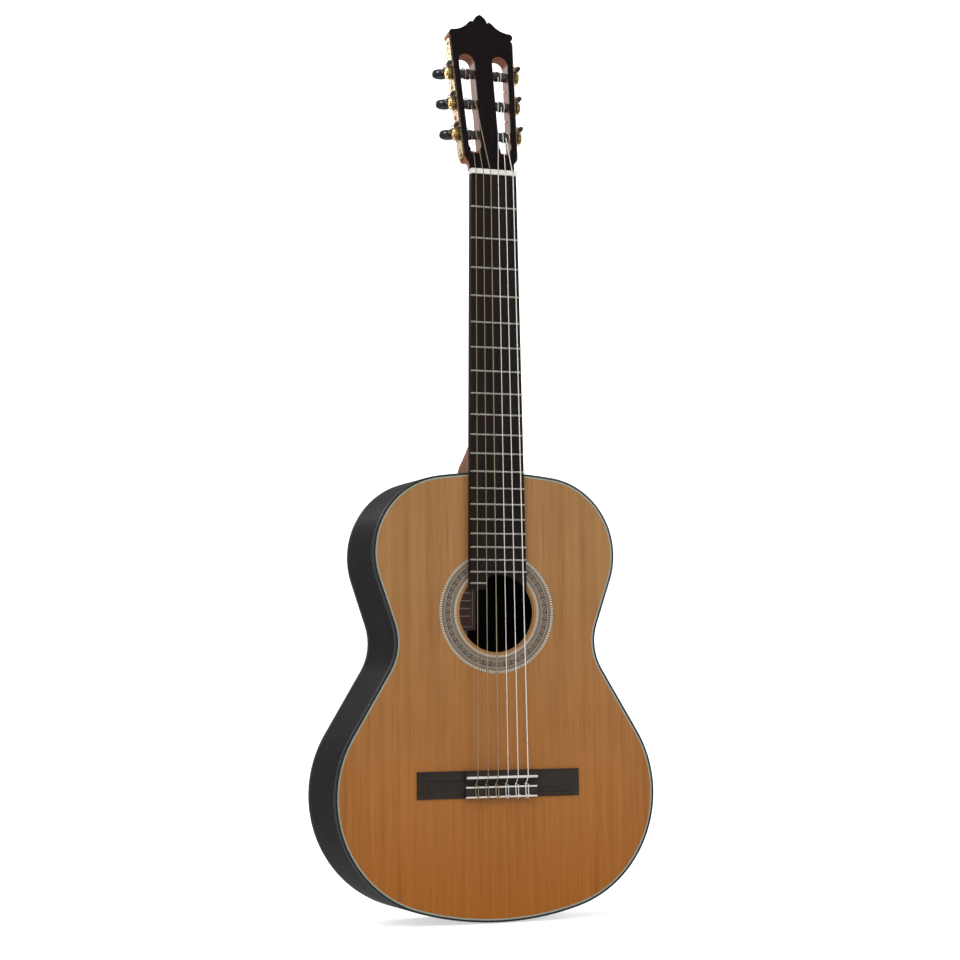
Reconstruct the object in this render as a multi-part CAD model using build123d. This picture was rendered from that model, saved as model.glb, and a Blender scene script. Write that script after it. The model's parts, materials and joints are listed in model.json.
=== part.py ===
from build123d import *
import os
from math import acos, atan, atan2, cos, degrees, hypot, pi, radians, sin, tan

# Left-handed classical guitar, in millimetres.
# Z runs along the neck towards the head, the soundboard faces -Y, and X is to the
# right seen from the front. The origin is where the scale starts: the fingerboard
# edge of the nut, on the centre line, in the plane of the soundboard's front face.
# The treble strings are on the -X side.

# ---- scale, strings and their heights ----
scale_length = 650.0
saddle_compensation = 1.5
joint_fret = 12
nut_string_spread = 43.0
saddle_string_spread = 57.0
string_diameters = [0.71, 0.82, 1.02, 0.76, 0.89, 1.09]
nut_action = 0.7
octave_action = 3.2

# ---- fingerboard, frets and nut ----
nut_width = 52.3
nut_thickness = 5.5
nut_height = 9.2
groove_clearance = 0.05
board_width_at_joint = 61.5
board_thickness = 6.5
full_frets = 19
fret_crown_width = 2.2
fret_crown_height = 1.1
fret_tang_width = 0.55
fret_tang_depth = 1.8
board_end_radius = 40.0
horn_inner_x = 13.5
horn_past_last_fret = 6.5

# ---- body outline: arcs joined by straight tangents ----
body_length = 480.0
lower_width = 364.0
lower_height_share = 0.2791667
lower_radius = 126.0
waist_width = 228.0
waist_height_share = 0.6197917
waist_radius = 58.0
upper_width = 277.0
upper_height_share = 0.8166667
upper_radius = 84.0

# ---- body section ----
body_depth = 103.0
back_dome_radius = 5000.0
top_thickness = 2.6
back_thickness = 2.6
rib_thickness = 2.2
binding_height = 6.0
purfling_width = 1.6
lining_width = 6.0
lining_height = 15.0
centre_strip_width = 5.0
tail_strip_width = 7.0

# ---- soundhole, rosette and label ----
soundhole_radius = 43.0
soundhole_below_joint = 151.0
rosette_inner_radius = 46.0
rosette_outer_radius = 65.5
rosette_depth = 1.2
soundhole_ring_width = 15.0
soundhole_ring_thickness = 2.0
label_width = 62.0
label_height = 76.0
label_thickness = 0.3
label_centre_x = -19.0
label_above_soundhole = 21.0

# ---- braces ----
bar_width = 8.0
bar_height = 16.0
bar_clear_of_hole = 12.0
upper_bar_below_joint = 60.0
fan_count = 7
fan_width = 5.0
fan_height = 4.5
fan_pitch_top = 20.0
fan_pitch_bottom = 34.0
fan_clear_of_bar = 4.0
fan_end_height = 42.0
back_braces_below_joint = [85.0, 205.0, 335.0]
back_brace_width = 7.0
back_brace_depth = 14.0
seam_strip_width = 18.0
seam_strip_thickness = 2.0

# ---- blocks and heel ----
tail_block_width = 70.0
tail_block_thickness = 20.0
foot_width = 64.0
foot_length = 52.0
foot_toe_length = 76.0
foot_toe_height = 18.0
heel_web_width = 24.0
heel_depths = [8.0, 30.0, 60.0]
heel_widths = [56.0, 49.0, 39.0]
heel_reaches = [74.0, 52.0, 31.0]
heel_cap_width = 19.0
heel_cap_reach = 14.0
heel_cap_thickness = 2.5

# ---- neck ----
neck_depth_at_nut = 15.2
neck_depth_at_heel = 18.5
neck_squareness = 0.5
scarf_length = 46.0

# ---- head ----
head_tilt = 10.5
head_thickness = 15.5
veneer_thickness = 2.0
head_flare_start = 6.5
head_flare_end = 18.1
head_half_width_low = 30.8
head_half_width_high = 36.3
head_side_end = 156.0
throat_end = 13.0
head_overlap = 2.0
throat_squareness = 0.75
head_squareness = 0.97
slot_inner_x = 10.3
slot_start = 22.3
slot_end = 138.0
slot_outer_bar = 6.3
ramp_length = 7.0
crest_shoulder = [(-1.8, 1.9), (1.1, 5.6), (-1.8, 10.2)]
crest_hollow = [(24.8, 12.2), (16.8, 17.2)]
crest_bump = [(13.4, 20.7), (11.2, 22.3), (9.5, 21.9), (8.2, 20.2)]
crest_tip = [(6.1, 25.8), (0.0, 30.6)]

# ---- tuning machines ----
roller_diameter = 10.0
roller_starts = 43.0
roller_pitch = 36.3
roller_below_face = 0.5
roller_into_bar = 6.0
roller_play = 0.06
plate_thickness = 1.5
plate_start = 15.0
plate_length = 142.0
plate_width = 14.0
plate_lobe_radius = 4.0
shaft_diameter = 5.0
gear_seat_diameter = 4.0
gear_teeth = 14
gear_pitch_radius = 6.0
gear_width = 3.5
worm_lift = 0.35
tooth_addendum = 0.7
tooth_root_clearance = 0.25
tooth_half_thickness = 0.56
pressure_angle = 20.0
worm_pitch_radius = 2.75
worm_turns = 3.0
journal_diameter = 3.0
journal_play = 0.06
bracket_gap = 0.3
bracket_thickness = 2.0
ball_diameter = 5.0
bead_length = 3.2
collar_length = 4.0
collar_diameter = 5.2
button_width = 20.0
button_length = 14.5
button_thickness = 8.5
button_turns = {"treble": 90.0, "bass": 0.0}
stem_length = 6.0
ball_sunk = 0.3
screw_head_diameter = 4.4
screw_head_height = 1.3
screw_shank_diameter = 2.2
screw_length = 9.0
screw_drive = (0.6, 0.9)
plate_screw_inset = 4.5
plate_screw_rows = (1.0, 4.5)
plate_screw_past_middle = 3.5
wrap_turns = 3
wrap_positions = [20.0, 17.5, 17.0]
wrap_gap = 0.4

# ---- bridge and saddle ----
bridge_length = 185.0
bridge_width = 29.0
bridge_ahead_of_saddle = 7.0
wing_edge_height = 1.6
wing_height = 4.4
wing_bevel_length = 14.0
bridge_block_length = 81.0
bridge_block_height = 9.5
saddle_thickness = 2.6
saddle_length = 80.0
saddle_block_width = 10.0
saddle_slot_depth = 6.0
tie_channel_width = 6.5
tie_channel_floor = 4.0
tie_hole_height = 6.2
tie_hole_diameter = 1.8
strip_width = 1.6
strip_depth = 1.0
strip_proud = 0.3
tie_loop_offset = 1.5

# ---- worked-out values shared by several parts ----
joint_z = -scale_length * (1 - 2 ** (-joint_fret / 12))
body_bottom = joint_z - body_length
lower_height = body_length * lower_height_share
waist_height = body_length * waist_height_share
upper_height = body_length * upper_height_share
soundhole_z = joint_z - soundhole_below_joint
saddle_z = -scale_length - saddle_compensation
fret_top = board_thickness + fret_crown_height
string_count = len(string_diameters)
gear_pitch = 2 * pi * gear_pitch_radius / gear_teeth
gear_worm_distance = gear_pitch_radius + worm_pitch_radius
gear_root_radius = gear_pitch_radius - tooth_addendum - tooth_root_clearance
worm_root_radius = worm_pitch_radius - tooth_addendum - tooth_root_clearance
worm_half_length = worm_turns * gear_pitch / 2 + 0.4
gear_mid_height = plate_thickness + worm_lift + worm_pitch_radius + tooth_addendum
roller_axis_depth = roller_diameter / 2 + roller_below_face
far = 2 * body_depth

HEAD = Plane(
    origin=(0, 0, nut_thickness),
    x_dir=(1, 0, 0),
    z_dir=(0, -cos(radians(head_tilt)), sin(radians(head_tilt))),
)
SIDES = {"treble": -1, "bass": 1}


# ---------------------------------------------------------------- helpers
def polar(centre, radius, angle):
    """Point at an angle on a circle."""
    return (centre[0] + radius * cos(angle), centre[1] + radius * sin(angle))


def heading(start, end):
    """Direction from one point to another, in radians."""
    return atan2(end[1] - start[1], end[0] - start[0])


def arc(centre, radius, start, end):
    """Circular arc between two angles."""
    middle = polar(centre, radius, (start + end) / 2)
    return ThreePointArc(polar(centre, radius, start), middle, polar(centre, radius, end))


def closed(right_edges):
    """Face bounded by a right-hand half outline and its mirror image."""
    left_edges = [mirror(edge, about=Plane.YZ) for edge in right_edges]
    return make_face(right_edges + left_edges)


def prism(sketch, front, back):
    """Solid with the sketch as its front view, between two depths."""
    face = Plane.XZ.offset(-front) * sketch
    return extrude(face, amount=-(back - front))


def block(x_range, y_range, z_range):
    """Box between pairs of coordinates."""
    sizes = [high - low for low, high in (x_range, y_range, z_range)]
    middle = [(high + low) / 2 for low, high in (x_range, y_range, z_range)]
    return Pos(*middle) * Box(*sizes)


def save(name, *solids):
    """Write one node, each of its solids separate."""
    pieces = []
    for solid in solids:
        pieces.extend(solid.solids())
    export_step(Compound(children=pieces, label=name), f"parts/{name}.step")


# ---------------------------------------------------------------- body outline
def arc_radius(half_width, radius, height):
    """Radius of the end arc that meets a side arc and crosses the centre line square."""
    side = (half_width - radius) ** 2 + height ** 2 - radius ** 2
    return side / (2 * (height - radius))


tail_radius = arc_radius(lower_width / 2, lower_radius, lower_height)
shoulder_radius = arc_radius(upper_width / 2, upper_radius, body_length - upper_height)
tail_centre = (0, body_bottom + tail_radius)
lower_centre = (lower_width / 2 - lower_radius, body_bottom + lower_height)
waist_centre = (waist_width / 2 + waist_radius, body_bottom + waist_height)
upper_centre = (upper_width / 2 - upper_radius, body_bottom + upper_height)
shoulder_centre = (0, joint_z - shoulder_radius)


def tangent_turn(centre, radius):
    """Angle between a line of centres and the radius to the waist's inner tangent."""
    distance = hypot(waist_centre[0] - centre[0], waist_centre[1] - centre[1])
    return acos((radius + waist_radius) / distance)


tail_to_lower = heading(tail_centre, lower_centre)
lower_to_waist = heading(lower_centre, waist_centre) - tangent_turn(lower_centre, lower_radius)
waist_to_upper = heading(waist_centre, upper_centre) + tangent_turn(upper_centre, upper_radius)
upper_to_shoulder = heading(shoulder_centre, upper_centre)


def body_outline(inset):
    """Front view of the body, moved inwards by the inset."""
    waist = waist_radius + inset
    lower_arc = arc(lower_centre, lower_radius - inset, tail_to_lower, lower_to_waist)
    waist_arc = arc(waist_centre, waist, lower_to_waist + pi, waist_to_upper)
    upper_arc = arc(upper_centre, upper_radius - inset, waist_to_upper - pi, upper_to_shoulder)
    return closed([
        arc(tail_centre, tail_radius - inset, -pi / 2, tail_to_lower),
        lower_arc,
        Line(lower_arc @ 1, waist_arc @ 0),
        waist_arc,
        Line(waist_arc @ 1, upper_arc @ 0),
        upper_arc,
        arc(shoulder_centre, shoulder_radius - inset, upper_to_shoulder, pi / 2),
    ])


def body_ring(outer_inset, inner_inset):
    """Band that follows the body outline between two insets."""
    return body_outline(outer_inset) - body_outline(inner_inset)


def back_dome(below):
    """Ball whose rear is the back's outer face, lowered by a distance."""
    centre = Pos(0, body_depth - back_dome_radius, lower_centre[1])
    return centre * Sphere(back_dome_radius - below)


def back_layer(sketch, outer, inner):
    """Piece of the domed back between two distances under its outer face."""
    return (prism(sketch, 0, far) & back_dome(outer)) - back_dome(inner)


def back_surface(x, z):
    """Depth of the back's outer face at a place."""
    drop = (x ** 2 + (z - lower_centre[1]) ** 2) / (2 * back_dome_radius)
    return body_depth - drop


# ---------------------------------------------------------------- body
edge_inset = rib_thickness + purfling_width
inner_inset = rib_thickness + lining_width


def soundhole_disc(radius):
    """Disc about the soundhole's centre."""
    return Pos(0, soundhole_z) * Circle(radius)


def make_soundboard():
    """Soundboard with the hole and the channel for the rosette."""
    board = prism(body_outline(edge_inset), 0, top_thickness)
    hole = prism(soundhole_disc(soundhole_radius), -1, top_thickness + 1)
    channel = soundhole_disc(rosette_outer_radius) - soundhole_disc(rosette_inner_radius)
    return board - hole - prism(channel, -1, rosette_depth)


def make_rosette():
    """Ring inlaid round the soundhole."""
    ring = soundhole_disc(rosette_outer_radius) - soundhole_disc(rosette_inner_radius)
    return prism(ring, 0, rosette_depth)


def make_ribs(side):
    """One bent rib, from the tail strip to its slot in the heel block."""
    shell = prism(body_ring(0, rib_thickness), binding_height, far) & back_dome(binding_height)
    half = block((0, lower_width), (0, far), (body_bottom - 1, joint_z + 1))
    strip = block((-1, tail_strip_width / 2), (0, far), (body_bottom - 1, lower_centre[1]))
    web = block((-1, heel_web_width / 2), (0, far), (upper_centre[1], joint_z + 1))
    rib = (shell & half) - strip - web
    return rib if side > 0 else mirror(rib, about=Plane.YZ)


def make_bindings():
    """Black edge strips round the soundboard and round the back."""
    ring = body_ring(0, rib_thickness)
    return prism(ring, 0, binding_height), back_layer(ring, 0, binding_height)


def make_purfling():
    """Pale line inside the front binding."""
    return prism(body_ring(rib_thickness, edge_inset), 0, top_thickness)


def end_blocks_envelope():
    """Space that the tail block and the foot take inside the ribs."""
    tail = block(
        (-tail_block_width / 2, tail_block_width / 2),
        (0, far),
        (body_bottom, body_bottom + rib_thickness + tail_block_thickness),
    )
    foot = block(
        (-foot_width / 2, foot_width / 2), (0, far), (joint_z - rib_thickness - foot_length, joint_z)
    )
    return tail, foot


def make_linings():
    """Front and back glue strips inside the ribs, stopped by the two blocks."""
    ring = body_ring(rib_thickness, inner_inset)
    front = prism(ring, top_thickness, top_thickness + lining_height)
    back = back_layer(ring, back_thickness, back_thickness + lining_height)
    tail, foot = end_blocks_envelope()
    return front - tail - foot, back - tail - foot


def make_tail_block():
    """Block inside the ribs' end joint."""
    inside = prism(body_outline(rib_thickness), top_thickness, far) & back_dome(back_thickness)
    return inside & end_blocks_envelope()[0]


def make_tail_strip():
    """Inlay that closes the joint of the two ribs at the tail."""
    shell = prism(body_ring(0, rib_thickness), binding_height, far) & back_dome(binding_height)
    half = tail_strip_width / 2
    return shell & block((-half, half), (0, far), (body_bottom - 1, lower_centre[1]))


def strip_sketch(width, low, high, x=0):
    """Upright rectangle in the front view."""
    return Pos(x, (low + high) / 2) * Rectangle(width, high - low)


def make_back():
    """Two matched back plates and the strip between them."""
    plate = body_outline(rib_thickness)
    strip = strip_sketch(centre_strip_width, body_bottom - 1, joint_z + 1)
    plates = back_layer(plate - strip, 0, back_thickness)
    return plates, back_layer(plate & strip, 0, back_thickness)


def make_back_braces():
    """Cross braces of the back and the seam strips between the lower ones."""
    inside = body_outline(inner_inset)
    pieces = []
    for below in back_braces_below_joint:
        z = joint_z - below
        bar = strip_sketch(lower_width, z - back_brace_width / 2, z + back_brace_width / 2)
        pieces.append(back_layer(bar & inside, back_thickness, back_thickness + back_brace_depth))
    tail_face = body_bottom + rib_thickness + tail_block_thickness
    levels = [joint_z - below for below in back_braces_below_joint[1:]]
    starts = levels[1:] + [tail_face - back_brace_width / 2]
    for upper, lower in zip(levels, starts):
        low = lower + back_brace_width / 2
        high = upper - back_brace_width / 2
        strip = strip_sketch(seam_strip_width, low, high)
        pieces.append(back_layer(strip, back_thickness, back_thickness + seam_strip_thickness))
    return pieces


def make_label():
    """Paper label inside the back, seen through the soundhole."""
    middle = soundhole_z + label_above_soundhole
    low = middle - label_height / 2
    sketch = strip_sketch(label_width, low, low + label_height, label_centre_x)
    return back_layer(sketch, back_thickness, back_thickness + label_thickness)


hole_bar_offset = soundhole_radius + bar_clear_of_hole + bar_width / 2
lower_bar_z = soundhole_z - hole_bar_offset
upper_bar_z = soundhole_z + hole_bar_offset


def make_harmonic_bars():
    """Cross bars under the soundboard, above and below the soundhole and at the shoulder."""
    inside = body_outline(inner_inset)
    bars = []
    for z in (lower_bar_z, upper_bar_z, joint_z - upper_bar_below_joint):
        bar = strip_sketch(lower_width, z - bar_width / 2, z + bar_width / 2) & inside
        foot = end_blocks_envelope()[1]
        bars.append(prism(bar, top_thickness, top_thickness + bar_height) - foot)
    return bars


def make_soundhole_ring():
    """Thin doubling ring glued under the soundhole's edge."""
    outer = soundhole_disc(soundhole_radius + soundhole_ring_width)
    between = strip_sketch(
        lower_width, lower_bar_z + bar_width / 2, upper_bar_z - bar_width / 2
    )
    ring = (outer - soundhole_disc(soundhole_radius)) & between
    return prism(ring, top_thickness, top_thickness + soundhole_ring_thickness)


def make_fan_braces():
    """Thin struts that spread from the lower bar towards the tail."""
    top = lower_bar_z - bar_width / 2 - fan_clear_of_bar
    bottom = body_bottom + fan_end_height
    struts = []
    for index in range(fan_count):
        place = index - (fan_count - 1) / 2
        start = Vector(place * fan_pitch_top, top)
        end = Vector(place * fan_pitch_bottom, bottom + abs(place) * fan_pitch_bottom / 4)
        run = end - start
        middle = (start + end) / 2
        turn = degrees(atan2(run.Y, run.X))
        sketch = Pos(middle.X, middle.Y) * Rot(0, 0, turn) * Rectangle(run.length, fan_width)
        struts.append(prism(sketch, top_thickness, top_thickness + fan_height))
    return struts


# ---------------------------------------------------------------- neck and heel
def board_width(z):
    """Width of the fingerboard at a height."""
    return nut_width + (board_width_at_joint - nut_width) * z / joint_z


def neck_section(width, depth, squareness):
    """Flat-fronted section with a rounded back, squarer as the squareness nears one."""
    half = width / 2
    curves = [
        Bezier(
            (side * half, 0),
            (side * half, squareness * depth),
            (side * squareness * half, depth),
            (0, depth),
        )
        for side in SIDES.values()
    ]
    return make_face(curves + [Line((-half, 0), (half, 0))])


def neck_slice(z, squareness):
    """Neck section square to the neck at a height."""
    share = z / joint_z
    depth = neck_depth_at_nut + (neck_depth_at_heel - neck_depth_at_nut) * share
    return Plane.XY.offset(z) * neck_section(board_width(z), depth, squareness)


def head_slice(along, width, squareness):
    """Section square to the head at a distance from the nut."""
    section = Plane(
        origin=HEAD.from_local_coords((0, along, 0)), x_dir=(1, 0, 0), z_dir=HEAD.y_dir
    )
    return section * neck_section(width, head_thickness, squareness)


def neck_and_head_blank():
    """Neck shaft, throat and head core before the scarf joint divides them."""
    shaft = loft([neck_slice(joint_z - 3, neck_squareness), neck_slice(nut_thickness, neck_squareness)])
    shaft -= prism(body_outline(0), -1, far)
    throat = loft([
        neck_slice(-2, neck_squareness),
        head_slice(head_flare_start, nut_width, throat_squareness),
        head_slice(throat_end, 2 * head_half_width(throat_end), head_squareness),
    ])
    core = extrude(HEAD * head_outline(), amount=-head_thickness)
    low = extrude(HEAD * front_strip(-2 * head_overlap), amount=-lower_width / 2)
    front = extrude(HEAD * (head_outline() & front_strip(0)), amount=-head_thickness / 3)
    ahead = HEAD * Pos(0, 0, lower_width / 2) * Box(lower_width, lower_width, lower_width)
    return (shaft + ((throat + (core - low) + front) - ahead)) - block(
        (-nut_width, nut_width), (-nut_width, 0), (joint_z, nut_thickness)
    )


def front_strip(start):
    """Strip of the head's front view, from a start to the throat's end."""
    length = throat_end - start
    return Pos(0, start + length / 2) * Rectangle(lower_width, length)


def scarf_side():
    """Everything on the head's side of the scarf joint."""
    slope = atan(neck_depth_at_nut / scarf_length)
    plane = Plane(origin=(0, 0, 0), x_dir=(1, 0, 0), z_dir=(0, cos(slope), sin(slope)))
    size = scale_length
    return plane * Pos(0, 0, size / 2) * Box(size, size, size)


def heel_slice(depth, width, reach):
    """Arched section of the heel at a depth."""
    foot = joint_z - 6
    half = width / 2
    angles = [pi * index / 6 for index in range(7)]
    points = [(half * cos(angle), joint_z + reach * sin(angle)) for angle in angles]
    arch = Spline(points, tangents=[(0, 1), (0, -1)])
    sketch = make_face([
        Line((half, foot), points[0]),
        arch,
        Line(points[-1], (-half, foot)),
        Line((-half, foot), (half, foot)),
    ])
    return Plane.XZ.offset(-depth) * sketch


heel_cap_face = back_surface(0, joint_z)


def heel_outside():
    """Heel outside the ribs, from the neck to the heel cap."""
    sections = [heel_slice(*row) for row in zip(heel_depths, heel_widths, heel_reaches)]
    end = heel_slice(heel_cap_face, heel_cap_width, heel_cap_reach)
    return loft(sections + [end]) - prism(body_outline(0), -1, far)


def heel_cap_space():
    """Everything behind the heel cap's glue face."""
    return block(
        (-nut_width, nut_width),
        (heel_cap_face - heel_cap_thickness, far),
        (joint_z - rib_thickness, joint_z + scale_length),
    )


def make_heel_block(neck):
    """Heel, the web between the ribs' ends, and the foot inside the body."""
    inside = prism(body_outline(rib_thickness), top_thickness, far) & back_dome(back_thickness)
    start = joint_z - rib_thickness
    half = foot_width / 2
    foot = inside & block((-half, half), (0, far), (start - foot_length, joint_z))
    toe_top = back_surface(0, start - foot_toe_length) - back_thickness - foot_toe_height
    toe = inside & block((-half, half), (toe_top, far), (start - foot_toe_length, joint_z))
    web_half = heel_web_width / 2
    web = prism(body_ring(0, rib_thickness), binding_height, far) & back_dome(binding_height)
    web = web & block((-web_half, web_half), (0, far), (upper_centre[1], joint_z + 1))
    return (heel_outside() - heel_cap_space() - neck) + web + foot + toe


def make_heel_cap():
    """Thin cap on the heel's end, flush with the back."""
    behind = block(
        (-nut_width, nut_width), (heel_cap_face, far), (joint_z - 10, joint_z + scale_length)
    )
    return (heel_outside() & heel_cap_space()) - behind


# ---------------------------------------------------------------- head
def head_half_width(along):
    """Half the head's width beside the tuning machines, at a distance from the nut."""
    slope = (head_half_width_high - head_half_width_low) / (head_side_end - head_flare_end)
    if along < head_flare_end:
        share = max(along - head_flare_start, 0) / (head_flare_end - head_flare_start)
        return nut_width / 2 + (head_half_width_low - nut_width / 2) * share
    return head_half_width_low + slope * (along - head_flare_end)


def head_outline():
    """Front view of the head: flared shoulders, straight sides and a carved crest."""
    nut_half = nut_width / 2
    low = head_half_width_low
    high = head_half_width_high
    flare_middle = ((nut_half + low) / 2, (head_flare_start + head_flare_end) / 2)
    shoulder = [(high + x, head_side_end + rise) for x, rise in crest_shoulder]
    hollow = [(x, head_side_end + rise) for x, rise in crest_hollow]
    bump = [(x, head_side_end + rise) for x, rise in crest_bump]
    tip = [(x, head_side_end + rise) for x, rise in crest_tip]
    return closed([
        Line((0, -head_overlap), (nut_half, -head_overlap)),
        Line((nut_half, -head_overlap), (nut_half, head_flare_start)),
        Spline(
            [(nut_half, head_flare_start), flare_middle, (low, head_flare_end)],
            tangents=[(0, 1), (0.2, 1)],
        ),
        Line((low, head_flare_end), (high, head_side_end)),
        Line((high, head_side_end), shoulder[0]),
        ThreePointArc(*shoulder),
        ThreePointArc(shoulder[2], *hollow),
        ThreePointArc(hollow[1], *bump[:2]),
        ThreePointArc(*bump[1:]),
        ThreePointArc(bump[3], *tip),
    ])


def slot_sketch(side):
    """One string slot: straight beside the centre bar, outer edge along the head's side."""
    low_radius = (head_half_width(slot_start + 8) - slot_outer_bar - slot_inner_x) / 2
    high_radius = (head_half_width(slot_end - 9) - slot_outer_bar - slot_inner_x) / 2
    low = Pos(side * (slot_inner_x + low_radius), slot_start + low_radius) * Circle(low_radius)
    high = Pos(side * (slot_inner_x + high_radius), slot_end - high_radius) * Circle(high_radius)
    return make_hull((low + high).edges())


def slot_cuts():
    """Both slots and the ramps that let the strings down into them."""
    cuts = []
    for side in SIDES.values():
        through = extrude(HEAD * slot_sketch(side), amount=3 * head_thickness / 2, both=True)
        width = head_half_width(slot_start) - slot_outer_bar - slot_inner_x
        middle = side * (slot_inner_x + width / 2)
        turn = degrees(atan(1.1 * veneer_thickness / ramp_length)) + 45
        place = HEAD * Pos(middle, slot_start + 1, veneer_thickness) * Rot(turn, 0, 0)
        cuts.append(through + place * Box(width - 3, ramp_length, ramp_length))
    return cuts


def tuner_frame(side, number):
    """Frame of one machine: X towards the tip, Z outwards, on the head's side face."""
    along = roller_starts + number * roller_pitch
    taper = atan((head_half_width_high - head_half_width_low) / (head_side_end - head_flare_end))
    origin = HEAD.from_local_coords((side * head_half_width(along), along, -roller_axis_depth))
    towards_tip = HEAD.x_dir * (side * sin(taper)) + HEAD.y_dir * cos(taper)
    outwards = HEAD.x_dir * (side * cos(taper)) - HEAD.y_dir * sin(taper)
    return Plane(origin=origin, x_dir=towards_tip, z_dir=outwards)


def roller_reach(number):
    """Distance from the head's side face to the roller's inner end."""
    along = roller_starts + number * roller_pitch
    return head_half_width(along) - slot_inner_x + roller_into_bar


def roller_bores():
    """Bores through the side bars and into the centre bar."""
    bores = []
    radius = roller_diameter / 2 + roller_play
    for side in SIDES.values():
        for number in range(3):
            depth = roller_reach(number) + bracket_gap
            bore = Pos(0, 0, 1 - depth / 2 - 0.5) * Cylinder(radius, depth + 1)
            bores.append(tuner_frame(side, number) * bore)
    return bores


def make_head(blank):
    """Head core with its slots and bores."""
    head = blank & scarf_side()
    for cut in slot_cuts() + roller_bores():
        head -= cut
    for side in SIDES.values():
        for screw in plate_screw_solids(side):
            head -= screw
    return head


def make_veneer():
    """Dark face of the head."""
    veneer = extrude(HEAD * head_outline(), amount=veneer_thickness)
    veneer -= block((-nut_width, nut_width), (-nut_width, nut_width), (-nut_width, nut_thickness))
    for cut in slot_cuts():
        veneer -= cut
    return veneer


# ---------------------------------------------------------------- tuning machines
def make_plate(side):
    """Side plate with its lobed back edge and the brackets of three worms."""
    first = tuner_frame(side, 0)
    middle_x = plate_length / 2 - (roller_starts - plate_start)
    middle_y = -side * (plate_width / 2 - roller_axis_depth)
    body = Pos(middle_x, middle_y) * RectangleRounded(plate_length, plate_width, 3)
    lobes = int(plate_length // (2 * plate_lobe_radius)) - 1
    for index in range(lobes):
        x = middle_x + (index - (lobes - 1) / 2) * 2.1 * plate_lobe_radius
        y = middle_y - side * (plate_width / 2 - plate_lobe_radius * 0.6)
        body += Pos(x, y) * Circle(plate_lobe_radius)
    plate = extrude(body, amount=plate_thickness)
    for number in range(3):
        x = number * roller_pitch / cos(plate_taper())
        plate -= Pos(x, 0, 0) * Cylinder(shaft_diameter / 2 + journal_play, 3 * plate_thickness)
        plate += Pos(x + gear_worm_distance, 0, 0) * worm_brackets()
    plate = first * plate
    for screw in plate_screw_solids(side):
        plate -= screw
    return plate


def plate_taper():
    """Angle between the head's side and its centre line."""
    return atan((head_half_width_high - head_half_width_low) / (head_side_end - head_flare_end))


def worm_brackets():
    """Two posts with rounded tops that carry a worm, in a machine's frame."""
    post_width = journal_diameter + 2.4
    height = gear_mid_height
    cheeks = Part()
    for end in (-1, 1):
        y = end * (worm_half_length + bracket_gap + bracket_thickness / 2)
        post = Pos(0, y, height / 2) * Box(post_width, bracket_thickness, height)
        top = Pos(0, y, height) * Rot(90, 0, 0) * Cylinder(post_width / 2, bracket_thickness)
        bore = Pos(0, y, height) * Rot(90, 0, 0) * Cylinder(
            journal_diameter / 2 + journal_play, 2 * bracket_thickness
        )
        cheeks += (post + top) - bore
    return cheeks


def plate_screw_solids(side):
    """Four wood screws that hold one plate."""
    first = tuner_frame(side, 0)
    base = -(roller_starts - plate_start)
    outer, inner = [-side * row for row in plate_screw_rows]
    spots = [
        (base + plate_screw_inset, outer),
        (base + plate_length - plate_screw_inset, outer),
        (roller_pitch / 2 + plate_screw_past_middle, inner),
        (3 * roller_pitch / 2 + plate_screw_past_middle, inner),
    ]
    screws = []
    for x, y in spots:
        shank = Pos(0, 0, -screw_length / 2) * Cylinder(screw_shank_diameter / 2, screw_length)
        head = Pos(0, 0, screw_head_height / 2) * Cylinder(
            screw_head_diameter / 2, screw_head_height
        )
        drive = Pos(0, 0, screw_head_height) * Box(screw_head_diameter, *screw_drive)
        screw = Pos(0, 0, plate_thickness) * (shank + (head - drive))
        screws.append(first * Pos(x, y, 0) * screw)
    return screws


def tooth_face(radius_low, radius_high, turn, height):
    """Tapered tooth section at a height, turned about the gear's axis."""
    flank = tan(radians(pressure_angle))
    half_low = tooth_half_thickness + (gear_pitch_radius - radius_low) * flank
    half_high = tooth_half_thickness - (radius_high - gear_pitch_radius) * flank
    corners = [
        (radius_low, -half_low),
        (radius_high, -half_high),
        (radius_high, half_high),
        (radius_low, half_low),
    ]
    return Pos(0, 0, height) * Rot(0, 0, turn) * make_face(Polyline(*corners, close=True))


def make_gear():
    """Brass gear with slanted teeth, about Z, middle of its width at the origin."""
    lead = gear_pitch / (2 * pi * worm_pitch_radius)
    skew = degrees(gear_width / 2 * lead / gear_pitch_radius)
    low = gear_root_radius - 0.4
    high = gear_pitch_radius + tooth_addendum
    gear = Cylinder(gear_root_radius, gear_width)
    for index in range(gear_teeth):
        turn = 360 / gear_teeth * index
        lower = tooth_face(low, high, turn - skew, -gear_width / 2)
        upper = tooth_face(low, high, turn + skew, gear_width / 2)
        gear += loft([lower, upper])
    return gear - Cylinder(gear_seat_diameter / 2, 2 * gear_width)


def make_gear_screw():
    """Slotted screw that clamps the gear on its seat, above the gear's middle."""
    head = Cylinder(2.9, 1.2, align=(Align.CENTER, Align.CENTER, Align.MIN))
    drive = Pos(0, 0, 1.2) * Box(6, 0.7, 0.9)
    return Pos(0, 0, gear_width / 2) * (head - drive)


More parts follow.
